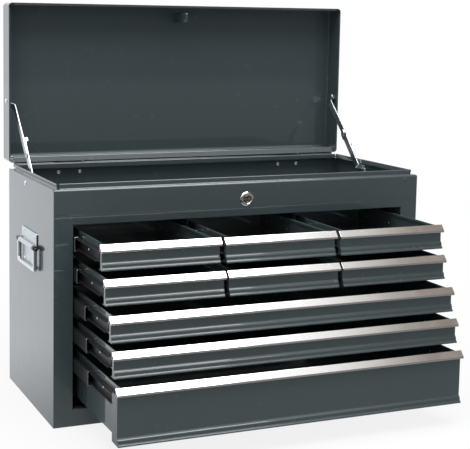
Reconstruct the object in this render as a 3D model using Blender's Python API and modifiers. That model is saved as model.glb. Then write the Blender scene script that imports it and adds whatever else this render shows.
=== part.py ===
"""Machinist tool chest: sheet steel case, lift-up lid on two folding stays, nine slide-out drawers.

Metres, +Z up, origin in the middle of the underside, front towards -Y. The drawers stand
part open and the lid stands upright, as in the photograph.
"""
import math

import bmesh
import bpy
from mathutils import Matrix, Vector

MM = 0.001

# Sheet metal and fits
SHEET = 1.0 * MM
BEND_R = 1.6 * MM
GAP = 0.3 * MM
OVERRUN = 2.0 * MM
SIDES = 12

# Case
CASE_W = 600.0 * MM
CASE_D = 255.0 * MM
CASE_H = 345.0 * MM
LEDGE_W = 7.5 * MM
REAR_LEDGE_W = 11.2 * MM
LIP_H = 7.5 * MM
HEM_W = 2.8 * MM
HEM_H = 6.5 * MM
FLANGE_W = 20.0 * MM
FLANGE_TOP_GAP = 3.0 * MM
BASE_WALL_H = 18.0 * MM
BASE_CORNER_R = 2.0 * MM

# Front: fascia above, face frame below with the drawer opening
FASCIA_H = 36.5 * MM
HEADER_H = 50.8 * MM
STILE_W = 29.0 * MM
RAIL_H = 25.4 * MM
JAMB_D = 12.0 * MM

# Till under the lid, inner panels, shelf and uprights
TILL_DEPTH = 47.0 * MM
TILL_WALL_H = 8.0 * MM
PANEL_FRONT_IN = 14.5 * MM
PANEL_REAR_IN = 12.5 * MM
PANEL_SETBACK = 0.5 * MM
SHELF_T = 1.2 * MM
SHELF_CLEAR = 3.1 * MM

# Drawer rows, from the top down
ROW_PITCH = 44.175 * MM
TOP_CLEAR = 6.9 * MM
ROW_CLEAR = 7.2 * MM
BOTTOM_CLEAR = 6.0 * MM
TRIM_SIDE_CLEAR = 3.0 * MM
TRIM_SPLIT = 3.5 * MM
DRAWER_D = 226.0 * MM
CLOSED_SETBACK = 8.5 * MM
PULL_1_LEFT = 108.0 * MM
PULL_1_MIDDLE = 112.0 * MM
PULL_1_RIGHT = 115.0 * MM
PULL_2 = 124.0 * MM
PULL_3 = 147.0 * MM
PULL_4 = 160.0 * MM
PULL_5 = 175.0 * MM

# Drawer pull trim, an extruded section
TRIM_REACH = 8.0 * MM
TRIM_DROP = 9.5 * MM
TRIM_LIP_H = 3.0 * MM
TRIM_RETURN = 2.6 * MM
TRIM_LEG_H = 12.0 * MM
TRIM_T = 1.4 * MM

# Drawer front with its cove, and the drawer body
FRONT_SIDE_IN = 2.0 * MM
FRONT_TOP_DROP = 5.6 * MM
COVE_H = 13.0 * MM
COVE_REACH = 5.5 * MM
COVE_LIP_H = 3.5 * MM
FRONT_FLOOR_D = 12.0 * MM
RETURN_D = 19.0 * MM
BODY_T = 0.8 * MM
BODY_TOP_DROP = 2.5 * MM
BODY_FLOOR_RISE = 4.5 * MM
BODY_HEM_W = 2.4 * MM
BODY_HEM_H = 4.0 * MM
BACK_TOP_DROP = 1.5 * MM

# Telescopic slides
SLIDE_CENTRE_DROP = 20.6 * MM
SLIDE_T = 1.0 * MM
SLIDE_SPACE = 10.6 * MM
SLIDE_CURL = 1.5 * MM
SLIDE_CURL_H = 1.2 * MM
FIXED_H = 23.6 * MM
FIXED_FLANGE = 9.4 * MM
FIXED_L = 212.0 * MM
MIDDLE_IN = 1.4 * MM
MIDDLE_H = 20.5 * MM
MIDDLE_FLANGE = 7.4 * MM
MIDDLE_L = 200.0 * MM
RUNNER_H = 15.2 * MM
RUNNER_FLANGE = 6.3 * MM
RUNNER_L = 195.0 * MM
RUNNER_SETBACK = 19.5 * MM
SHORT_SHARE = 0.26
SHORT_LOW_SHARE = 0.31
LONG_SHARE = 0.51

# Lid, given as it lies closed on the case
LID_H = 40.0 * MM
LID_CLEAR = 0.5 * MM
LID_CORNER_R = 6.0 * MM
LID_EDGE_R = 4.0 * MM
LID_REAR_FLANGE = 10.0 * MM
LID_FRONT_HEM = 3.5 * MM
LID_SIDE_HEM = 2.5 * MM
LID_HEM_INSET = 9.0 * MM
LID_OPEN_DEG = -90.0

# Butt hinges on the back
HINGE_SIDE_IN = 100.0 * MM
HINGE_OUT = 4.25 * MM
HINGE_UP = 4.75 * MM
HINGE_W = 50.0 * MM
HINGE_KNUCKLES = 5
HINGE_KNUCKLE_R = 3.3 * MM
HINGE_PIN_R = 1.3 * MM
HINGE_LEAF_T = 1.2 * MM
HINGE_LEAF_H = 20.0 * MM
HINGE_CORNER_R = 3.0 * MM
HINGE_RIVET_PITCH = 36.0 * MM
HINGE_RIVET_DROP = 12.75 * MM

# Rivets
RIVET_R = 4.0 * MM
RIVET_HEAD = 1.5 * MM
SHANK_R = 2.0 * MM
DIMPLE_IN = 22.6 * MM
DIMPLE_DROP = 7.4 * MM

# Folding stays
STAY_W = 12.0 * MM
STAY_T = 1.5 * MM
STAY_PIVOT_Y = 28.0 * MM
STAY_PIVOT_DROP = 10.5 * MM
STAY_LID_Y = 29.5 * MM
STAY_LID_UP = 20.0 * MM
STAY_LOWER_L = 79.0 * MM
STAY_UPPER_L = 88.3 * MM
STAY_TAIL = 25.0 * MM
STAY_CLEAR = 0.4 * MM
STAY_END_R = 5.0 * MM
STAY_BULGE_R = 8.0 * MM
STAY_LOWER_STEP = 5.0 * MM
STAY_LOWER_STEP_L = 4.0 * MM
STAY_UPPER_STEP = 7.0 * MM
STAY_UPPER_STEP_L = 7.0 * MM
STAY_TAB_L = 7.0 * MM
STAY_TAB_H = 3.5 * MM

# Lock, cam and catch
LOCK_DROP = 25.6 * MM
LOCK_RING_R = 11.0 * MM
LOCK_RING_T = 1.8 * MM
LOCK_BARREL_R = 8.5 * MM
LOCK_BARREL_L = 22.0 * MM
LOCK_NUT_R = 11.5 * MM
LOCK_NUT_T = 4.0 * MM
PLUG_R = 6.0 * MM
PLUG_TAIL_R = 3.0 * MM
KEY_W = 1.6 * MM
KEY_H = 7.0 * MM
KEY_D = 8.0 * MM
CAM_T = 2.0 * MM
CAM_HUB_R = 5.0 * MM
CAM_L = 20.0 * MM
CAM_SIDE = 1.0 * MM
CAM_W = 5.5 * MM
CAM_FINGER_W = 4.5 * MM
CAM_FINGER_H = 7.0 * MM
CATCH_T = 3.0 * MM
CATCH_FRONT_IN = 12.5 * MM
CATCH_W = 16.0 * MM
CATCH_BELOW = 15.0 * MM
CATCH_BAR_H = 3.6 * MM
CATCH_SLOT_H = 7.3 * MM
CATCH_SLOT_CLEAR = 1.2 * MM
CATCH_FOOT_W = 14.0 * MM

# Side handles
HANDLE_W = 117.0 * MM
HANDLE_TOP_Z = 268.0 * MM
HANDLE_PLATE_H = 25.0 * MM
HANDLE_T = 1.5 * MM
HANDLE_CORNER_R = 3.0 * MM
TONGUE_W = 58.0 * MM
TONGUE_BOTTOM_Z = 216.0 * MM
BAIL_PIVOT_Z = 247.0 * MM
BAIL_BOTTOM_Z = 205.7 * MM
BAIL_SPREAD = 92.0 * MM
BAIL_LEG_W = 13.0 * MM
BAIL_BAR_H = 5.5 * MM
BAIL_DEPTH = 6.0 * MM
BAIL_WALL = 1.4 * MM
BAIL_CORNER_R = 6.0 * MM
BAIL_EYE_H = 7.0 * MM
ROD_R = 2.0 * MM
ROD_HEAD_R = 3.0 * MM
ROD_HEAD_T = 2.0 * MM
KNUCKLE_R = 3.7 * MM

# Places that follow from the sizes
FRONT_Y = -CASE_D / 2
BACK_Y = CASE_D / 2
SIDE_X = CASE_W / 2
HINGE_X = SIDE_X - HINGE_SIDE_IN
INNER_X = SIDE_X - SHEET - GAP
OPENING_X = SIDE_X - STILE_W
OPENING_TOP = CASE_H - HEADER_H
PANEL_X = OPENING_X + PANEL_SETBACK
PANEL_FRONT_Y = FRONT_Y + PANEL_FRONT_IN
PANEL_REAR_Y = BACK_Y - PANEL_REAR_IN
TILL_Z = CASE_H - TILL_DEPTH
TRIM_X = OPENING_X - TRIM_SIDE_CLEAR
COLUMN_W = (2 * TRIM_X - 2 * TRIM_SPLIT) / 3
COLUMN_STEP = COLUMN_W + TRIM_SPLIT
UPRIGHT_X = COLUMN_STEP / 2
CLOSED_Y = FRONT_Y + CLOSED_SETBACK
SLIDE_Y = CLOSED_Y + RUNNER_SETBACK
FRONT_FACE_Y = -(TRIM_T + GAP + BODY_T)
HINGE_Y = BACK_Y + HINGE_OUT
HINGE_Z = CASE_H + HINGE_UP
LID_RIM_Z = CASE_H + LID_CLEAR
LOCK_Z = CASE_H - LOCK_DROP
ROW_TOPS = [OPENING_TOP - TOP_CLEAR - row * ROW_PITCH for row in range(5)]
ROW_BOTTOMS = [top + ROW_CLEAR for top in ROW_TOPS[1:]] + [RAIL_H + BOTTOM_CLEAR]

# Paint and metal: colour, roughness, metallic
PAINT = ((0.047, 0.062, 0.066), 0.34, 0.0)
PAINT_INSIDE = ((0.038, 0.050, 0.054), 0.42, 0.0)
ALUMINIUM = ((0.78, 0.76, 0.73), 0.30, 1.0)
ZINC = ((0.66, 0.68, 0.68), 0.32, 1.0)
CHROME = ((0.82, 0.83, 0.84), 0.12, 1.0)
DARK_STEEL = ((0.05, 0.053, 0.055), 0.40, 0.6)

AXES = {
    "xy": (Vector((1, 0, 0)), Vector((0, 1, 0)), Vector((0, 0, 1))),
    "xz": (Vector((1, 0, 0)), Vector((0, 0, 1)), Vector((0, 1, 0))),
    "yz": (Vector((0, 1, 0)), Vector((0, 0, 1)), Vector((1, 0, 0))),
}

for stale in list(bpy.data.objects):
    bpy.data.objects.remove(stale, do_unlink=True)

chest = bpy.data.collections.new("machinist_tool_chest")
bpy.context.scene.collection.children.link(chest)


def add(name, mesh, where=None):
    """A new object in the chest's collection."""
    obj = bpy.data.objects.new(name, mesh)
    (where or chest).objects.link(obj)
    return obj


def from_bmesh(name, bm):
    mesh = bpy.data.meshes.new(name)
    bm.to_mesh(mesh)
    bm.free()
    return add(name, mesh)


def settle(obj):
    """The object with its modifiers worked into its mesh; a curve comes back as a welded mesh."""
    bpy.context.view_layer.update()
    graph = bpy.context.evaluated_depsgraph_get()
    mesh = bpy.data.meshes.new_from_object(obj.evaluated_get(graph))
    if obj.type == "MESH":
        obj.modifiers.clear()
        obj.data = mesh
        return obj
    bm = bmesh.new()
    bm.from_mesh(mesh)
    bmesh.ops.remove_doubles(bm, verts=bm.verts, dist=GAP / 30)
    bmesh.ops.dissolve_limit(bm, angle_limit=math.radians(1), verts=bm.verts, edges=bm.edges)
    bm.transform(obj.matrix_world)
    bm.to_mesh(mesh)
    bm.free()
    made = add(obj.name + "_mesh", mesh)
    name = obj.name
    bpy.data.objects.remove(obj, do_unlink=True)
    made.name = name
    return made


def combine(operation, base, *others):
    """Boolean of the base with each of the others, which are used up."""
    for other in others:
        step = base.modifiers.new(operation.lower(), "BOOLEAN")
        step.operation = operation
        step.solver = "EXACT"
        step.object = other
        settle(base)
        bpy.data.objects.remove(other, do_unlink=True)
    return base


def join(base, *others):
    return combine("UNION", base, *others)


def cut(base, *others):
    return combine("DIFFERENCE", base, *others)


def mirrored(obj, name):
    """The mirror image across the middle plane of the chest."""
    bm = bmesh.new()
    bm.from_mesh(obj.data)
    bm.transform(Matrix.Scale(-1, 4, (1, 0, 0)))
    bmesh.ops.reverse_faces(bm, faces=bm.faces)
    return from_bmesh(name, bm)


def box(name, low, high):
    low, high = Vector(low), Vector(high)
    bm = bmesh.new()
    bmesh.ops.create_cube(bm, size=1)
    bm.transform(Matrix.Translation((low + high) / 2) @ Matrix.Diagonal((*(high - low), 1)))
    return from_bmesh(name, bm)


def rod(name, start, end, radius, sides=SIDES):
    start, end = Vector(start), Vector(end)
    bm = bmesh.new()
    bmesh.ops.create_cone(bm, cap_ends=True, segments=sides, radius1=radius, radius2=radius,
                          depth=(end - start).length)
    turn = (end - start).to_track_quat("Z", "Y").to_matrix().to_4x4()
    bm.transform(Matrix.Translation((start + end) / 2) @ turn)
    return from_bmesh(name, bm)


def rounded(path, radius, steps=2):
    """The path with every inner corner turned into an arc that its legs leave room for."""
    points = [Vector(point) for point in path]
    out = [points[0]]
    for before, corner, after in zip(points, points[1:], points[2:]):
        back, ahead = before - corner, after - corner
        half = back.angle(ahead) / 2
        reach = min(radius / math.tan(half), back.length * 0.35, ahead.length * 0.35)
        bend = reach * math.tan(half)
        back.normalize()
        ahead.normalize()
        centre = corner + (back + ahead).normalized() * (bend / math.sin(half))
        start, end = corner + back * reach - centre, corner + ahead * reach - centre
        sweep = start.angle(end)
        for step in range(steps + 1):
            share = step / steps
            out.append(centre + (start * math.sin((1 - share) * sweep)
                                 + end * math.sin(share * sweep)) / math.sin(sweep))
    out.append(points[-1])
    return out


def sheet(name, path, plane, low, high, thickness, side):
    """A path swept from low to high, square to its plane, and thickened on its left (1) or right (-1)."""
    along, up, across = AXES[plane]
    bm = bmesh.new()
    verts = [bm.verts.new(along * point[0] + up * point[1] + across * low) for point in path]
    edges = [bm.edges.new(pair) for pair in zip(verts, verts[1:])]
    first = edges[0]
    swept = bmesh.ops.extrude_edge_only(bm, edges=edges)["geom"]
    bmesh.ops.translate(bm, vec=across * (high - low),
                        verts=[item for item in swept if isinstance(item, bmesh.types.BMVert)])
    bmesh.ops.recalc_face_normals(bm, faces=bm.faces)
    bm.normal_update()
    step = Vector(path[1]) - Vector(path[0])
    right = along * step[1] - up * step[0]
    if first.link_faces[0].normal.dot(right) * side < 0:
        bmesh.ops.reverse_faces(bm, faces=bm.faces)
    obj = from_bmesh(name, bm)
    shell = obj.modifiers.new("thickness", "SOLIDIFY")
    shell.thickness = thickness
    shell.offset = -1
    shell.use_even_offset = True
    return settle(obj)


def plate(name, outlines, plane, low, high):
    """Flat outlines, the inner ones holes, filled and extruded from low to high."""
    along, up, across = AXES[plane]
    curve = bpy.data.curves.new(name, "CURVE")
    curve.dimensions = "2D"
    curve.fill_mode = "BOTH"
    curve.extrude = (high - low) / 2
    for outline in outlines:
        spline = curve.splines.new("POLY")
        spline.points.add(len(outline) - 1)
        for place, point in zip(spline.points, outline):
            place.co = (point[0], point[1], 0, 1)
        spline.use_cyclic_u = True
    obj = add(name, curve)
    frame = Matrix((along, up, along.cross(up))).transposed().to_4x4()
    obj.matrix_world = Matrix.Translation(across * ((low + high) / 2)) @ frame
    return settle(obj)


def circle(centre, radius, sides=SIDES):
    return [(centre[0] + radius * math.cos(math.tau * step / sides),
             centre[1] + radius * math.sin(math.tau * step / sides)) for step in range(sides)]


def rectangle(low, high, radius=0, steps=3):
    """Corners of a rectangle, rounded where a radius is given."""
    if not radius:
        return [low, (high[0], low[1]), high, (low[0], high[1])]
    corners = [(high[0] - radius, low[1] + radius, -90), (high[0] - radius, high[1] - radius, 0),
               (low[0] + radius, high[1] - radius, 90), (low[0] + radius, low[1] + radius, 180)]
    return [(x + radius * math.cos(math.radians(start + 90 * step / steps)),
             y + radius * math.sin(math.radians(start + 90 * step / steps)))
            for x, y, start in corners for step in range(steps + 1)]


def turned(name, profile, origin, direction, steps=SIDES, closed=False):
    """A profile of (radius, height) turned round an axis through the origin."""
    bm = bmesh.new()
    verts = [bm.verts.new((radius, 0, height)) for radius, height in profile]
    for pair in zip(verts, verts[1:]):
        bm.edges.new(pair)
    if closed:
        bm.edges.new((verts[-1], verts[0]))
    obj = from_bmesh(name, bm)
    screw = obj.modifiers.new("turn", "SCREW")
    screw.angle = math.tau
    screw.steps = screw.render_steps = steps
    screw.use_merge_vertices = True
    screw.merge_threshold = GAP / 30
    settle(obj)
    turn = Vector(direction).to_track_quat("Z", "Y").to_matrix().to_4x4()
    obj.data.transform(Matrix.Translation(origin) @ turn)
    return obj


def rivet(name, seat, direction, grip, head=RIVET_R):
    """A button-head rivet through a stack of sheets, from its inner seat to its outer one."""
    flat = head * 0.7
    profile = [(0, grip + RIVET_HEAD), (flat, grip + RIVET_HEAD), (head, grip), (SHANK_R, grip),
               (SHANK_R, 0), (head, 0), (flat, -RIVET_HEAD), (0, -RIVET_HEAD)]
    return turned(name, profile, seat, direction, steps=10)


def hole(seat, direction, reach, radius=SHANK_R + GAP):
    seat, direction = Vector(seat), Vector(direction)
    return rod("hole", seat - direction * OVERRUN, seat + direction * (reach + OVERRUN), radius)


def tray_shell(name, low, high, open_top, radius=BASE_CORNER_R, edge=BASE_CORNER_R):
    """A folded pan: a box without its top or its bottom, its corners rounded, made into sheet."""
    low, high = Vector(low), Vector(high)
    bm = bmesh.new()
    bmesh.ops.create_cube(bm, size=1)
    bm.transform(Matrix.Translation((low + high) / 2) @ Matrix.Diagonal((*(high - low), 1)))
    closed_z = low.z if open_top else high.z
    gone = [face for face in bm.faces if abs(abs(face.normal.z) - 1) < 0.1
            and abs(face.calc_center_median().z - closed_z) > (high.z - low.z) / 2]
    bmesh.ops.delete(bm, geom=gone, context="FACES")
    upright = [edge_ for edge_ in bm.edges if abs(edge_.verts[0].co.z - edge_.verts[1].co.z) > (high.z - low.z) / 2]
    bmesh.ops.bevel(bm, geom=upright, offset=radius, segments=3, profile=0.5, affect="EDGES")
    rim = [edge_ for edge_ in bm.edges if all(abs(vert.co.z - closed_z) < GAP / 30 for vert in edge_.verts)
           and any(abs(face.normal.z) < 0.5 for face in edge_.link_faces)]
    bmesh.ops.bevel(bm, geom=rim, offset=edge, segments=2, profile=0.5, affect="EDGES")
    bmesh.ops.recalc_face_normals(bm, faces=bm.faces)
    bm.normal_update()
    cap = max(bm.faces, key=lambda face: face.calc_area())
    if (cap.normal.z > 0) == open_top:
        bmesh.ops.reverse_faces(bm, faces=bm.faces)
    obj = from_bmesh(name, bm)
    shell = obj.modifiers.new("thickness", "SOLIDIFY")
    shell.thickness = SHEET
    shell.offset = -1
    shell.use_even_offset = True
    return settle(obj)


def finish(obj, name, look, origin=None, parent=None):
    """Name, material, origin and parent of a finished piece."""
    obj.name = name
    obj.data.name = name
    colour, roughness, metallic = look
    material = bpy.data.materials.new(name)
    material.use_nodes = True
    shader = material.node_tree.nodes["Principled BSDF"]
    shader.inputs["Base Color"].default_value = (*colour, 1)
    shader.inputs["Roughness"].default_value = roughness
    shader.inputs["Metallic"].default_value = metallic
    obj.data.materials.clear()
    obj.data.materials.append(material)
    for face in obj.data.polygons:
        face.material_index = 0
    obj.data.shade_smooth()
    obj.data.set_sharp_from_angle(angle=math.radians(35))
    if origin is not None:
        obj.data.transform(Matrix.Translation(-Vector(origin)))
        obj.location = origin
    if parent is not None:
        obj.parent = parent
        obj.location = Vector((0, 0, 0))
    return obj


def empty(name, place, turn_x=0):
    obj = add(name, None)
    obj.empty_display_size = RIVET_R
    obj.location = place
    obj.rotation_euler.x = turn_x
    return obj


# Sides: one folded sheet from the floor to the hemmed lip, with a flange at the front and the back
lip_path = [(SIDE_X, 0), (SIDE_X, CASE_H), (SIDE_X - LEDGE_W, CASE_H), (SIDE_X - LEDGE_W, CASE_H + LIP_H),
            (SIDE_X - LEDGE_W - HEM_W, CASE_H + LIP_H), (SIDE_X - LEDGE_W - HEM_W, CASE_H + LIP_H - HEM_H)]
side_end = BACK_Y - SHEET - GAP
side = sheet("side", rounded(lip_path, BEND_R), "xz", -side_end, side_end, SHEET, 1)
flange_top = CASE_H - FLANGE_TOP_GAP
for edge_y in (-side_end, side_end - SHEET):
    join(side, box("flange", (SIDE_X - FLANGE_W, edge_y, 0), (SIDE_X - SHEET / 2, edge_y + SHEET, flange_top)))
corner_x = SIDE_X - SHEET - GAP / 2
corner_low = CASE_H - SHEET - GAP
corner_top = CASE_H + LIP_H + OVERRUN
cut(side,
    box("front_corner", (SIDE_X - LEDGE_W - HEM_W - OVERRUN, FRONT_Y - OVERRUN, corner_low),
        (corner_x, FRONT_Y + LEDGE_W + SHEET + GAP, corner_top)),
    box("rear_corner", (SIDE_X - LEDGE_W - HEM_W - OVERRUN, BACK_Y - REAR_LEDGE_W - SHEET - GAP, corner_low),
        (corner_x, BACK_Y + OVERRUN, corner_top)))
stay_seat = Vector((SIDE_X - SHEET, STAY_PIVOT_Y, CASE_H - STAY_PIVOT_DROP))
pivot_reach = Vector((STAY_T + 2 * GAP, 0, 0))
join(side, rivet("pivot", stay_seat - pivot_reach, (1, 0, 0), pivot_reach.x + SHEET - GAP / 3))
finish(mirrored(side, "left"), "case_side_left", PAINT)
finish(side, "case_side_right", PAINT)


def rim_sheet(name, wall_y, inward, ledge, bottom):
    """The front or back wall with its ledge, lip and hem across the whole width."""
    path = [(wall_y, bottom), (wall_y, CASE_H), (wall_y + inward * ledge, CASE_H),
            (wall_y + inward * ledge, CASE_H + LIP_H), (wall_y + inward * (ledge + HEM_W), CASE_H + LIP_H),
            (wall_y + inward * (ledge + HEM_W), CASE_H + LIP_H - HEM_H)]
    wall = sheet(name, rounded(path, BEND_R), "yz", -SIDE_X, SIDE_X, SHEET, -inward)
    inner = wall_y + inward * (SHEET + GAP / 2)
    deep = wall_y + inward * (ledge + HEM_W + OVERRUN)
    lip_end = SIDE_X - LEDGE_W - HEM_W - GAP
    for hand in (-1, 1):
        for start_x, start_y, low_z in ((INNER_X, inner, CASE_H - SHEET - OVERRUN),
                                        (lip_end, wall_y + inward * (ledge - BEND_R), CASE_H + GAP / 3)):
            xs = sorted((hand * start_x, hand * (SIDE_X + OVERRUN)))
            ys = sorted((start_y, deep))
            cut(wall, box("end", (xs[0], ys[0], low_z), (xs[1], ys[1], corner_top)))
    return wall


# Back, with holes for the hinge rivets
back = rim_sheet("back", BACK_Y, -1, REAR_LEDGE_W, 0)
hinge_rivet_z = HINGE_Z - HINGE_RIVET_DROP
rivet_xs = [hand * HINGE_X + step * HINGE_RIVET_PITCH / 2 for hand in (-1, 1) for step in (-1, 1)]
for x in rivet_xs:
    cut(back, hole((x, BACK_Y - SHEET, hinge_rivet_z), (0, 1, 0), SHEET))
finish(back, "case_back", PAINT)

# Base pan
base_half_y = BACK_Y - 2 * (SHEET + GAP)
base = tray_shell("base", (-INNER_X, -base_half_y, 0), (INNER_X, base_half_y, BASE_WALL_H), True)
finish(base, "case_base", PAINT)

# Fascia with the lock hole, above the seam
seam_z = CASE_H - FASCIA_H
fascia = rim_sheet("fascia", FRONT_Y, 1, LEDGE_W, seam_z)
cut(fascia, hole((0, FRONT_Y, LOCK_Z), (0, 1, 0), SHEET, LOCK_BARREL_R + GAP))
button = [(0, RIVET_HEAD / 2), (RIVET_R * 0.7, RIVET_HEAD / 2), (RIVET_R, GAP), (RIVET_R, -SHEET / 2), (0, -SHEET / 2)]
join(fascia, turned("button", button, (SIDE_X - DIMPLE_IN, FRONT_Y, CASE_H - DIMPLE_DROP), (0, -1, 0)))
finish(fascia, "front_fascia", PAINT)

# Face frame round the drawers, its jambs folded inward
opening = rectangle((-OPENING_X, RAIL_H), (OPENING_X, OPENING_TOP))
face = plate("face", [rectangle((-SIDE_X, 0), (SIDE_X, seam_z - GAP)), opening], "xz", FRONT_Y, FRONT_Y + SHEET)
jamb_outer = rectangle((-OPENING_X - SHEET, RAIL_H - SHEET), (OPENING_X + SHEET, OPENING_TOP + SHEET))
jamb = plate("jamb", [jamb_outer, opening], "xz", FRONT_Y + SHEET / 2, FRONT_Y + JAMB_D)
finish(join(face, jamb), "front_frame", PAINT)

# Till floor, the pan under the lid
till = tray_shell("till", (-INNER_X, -base_half_y, TILL_Z - SHEET), (INNER_X, base_half_y, TILL_Z + TILL_WALL_H), True)
finish(till, "till_floor", PAINT_INSIDE)

# Inner panels that carry the slides
panel_low = SHEET + GAP
panel_high = TILL_Z - SHEET - GAP
panel_flange_x = INNER_X - SHEET - BASE_CORNER_R
panel_path = [(panel_flange_x, PANEL_FRONT_Y), (PANEL_X, PANEL_FRONT_Y), (PANEL_X, PANEL_REAR_Y),
              (panel_flange_x, PANEL_REAR_Y)]
right_panel = sheet("panel", rounded(panel_path, BEND_R), "xy", panel_low, panel_high, SHEET, -1)

# Shelf under the small drawers, with the two uprights between them
shelf_low = ROW_TOPS[2] + SHELF_CLEAR
shelf = box("shelf", (-PANEL_X + GAP, PANEL_FRONT_Y, shelf_low), (PANEL_X - GAP, PANEL_REAR_Y, shelf_low + SHELF_T))
for hand in (-1, 1):
    join(shelf, box("upright", (hand * UPRIGHT_X - SHEET / 2, PANEL_FRONT_Y, shelf_low + SHELF_T / 2),
                    (hand * UPRIGHT_X + SHEET / 2, PANEL_REAR_Y, panel_high)))

# Slides
def channel(name, wall_x, hand, centre_z, start_y, length, inset, height, flange):
    """A C-shaped slide member on a wall, open towards its drawer, its lips curled in."""
    half = height / 2
    path = [(inset + flange, half - SLIDE_CURL_H), (inset + flange - SLIDE_CURL, half), (inset, half),
            (inset, -half), (inset + flange - SLIDE_CURL, -half), (inset + flange, -half + SLIDE_CURL_H)]
    placed = [(wall_x + hand * along, centre_z + up) for along, up in path]
    return sheet(name, placed, "xz", start_y, start_y + length, SLIDE_T, hand)


def runner(name, wall_x, hand, centre_z, start_y):
    """The inner member on the drawer's side, open towards the wall."""
    half = RUNNER_H / 2
    outer = SLIDE_SPACE + BODY_T / 4
    path = [(outer - RUNNER_FLANGE, half), (outer, half), (outer, -half), (outer - RUNNER_FLANGE, -half)]
    placed = [(wall_x + hand * along, centre_z + up) for along, up in path]
    return sheet(name, rounded(placed, SLIDE_T + GAP), "xz", start_y, start_y + RUNNER_L, SLIDE_T, -hand)


# Columns of drawers: centre, half width of the trim, and the two walls that carry the slides
small_columns = {
    "left": (-COLUMN_STEP, COLUMN_W / 2, -PANEL_X, -UPRIGHT_X - SHEET / 2),
    "middle": (0, COLUMN_W / 2, -UPRIGHT_X + SHEET / 2, UPRIGHT_X - SHEET / 2),
    "right": (COLUMN_STEP, COLUMN_W / 2, UPRIGHT_X + SHEET / 2, PANEL_X),
}
wide_column = (0, TRIM_X, -PANEL_X, PANEL_X)
drawers = []
for column, pull in (("left", PULL_1_LEFT), ("middle", PULL_1_MIDDLE), ("right", PULL_1_RIGHT)):
    drawers.append(("drawer_1_" + column, 0, small_columns[column], pull, SHORT_SHARE))
for column in small_columns:
    drawers.append(("drawer_2_" + column, 1, small_columns[column], PULL_2, SHORT_LOW_SHARE))
for row, pull in ((2, PULL_3), (3, PULL_4), (4, PULL_5)):
    drawers.append(("drawer_" + str(row + 1), row, wide_column, pull, LONG_SHARE))

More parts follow.
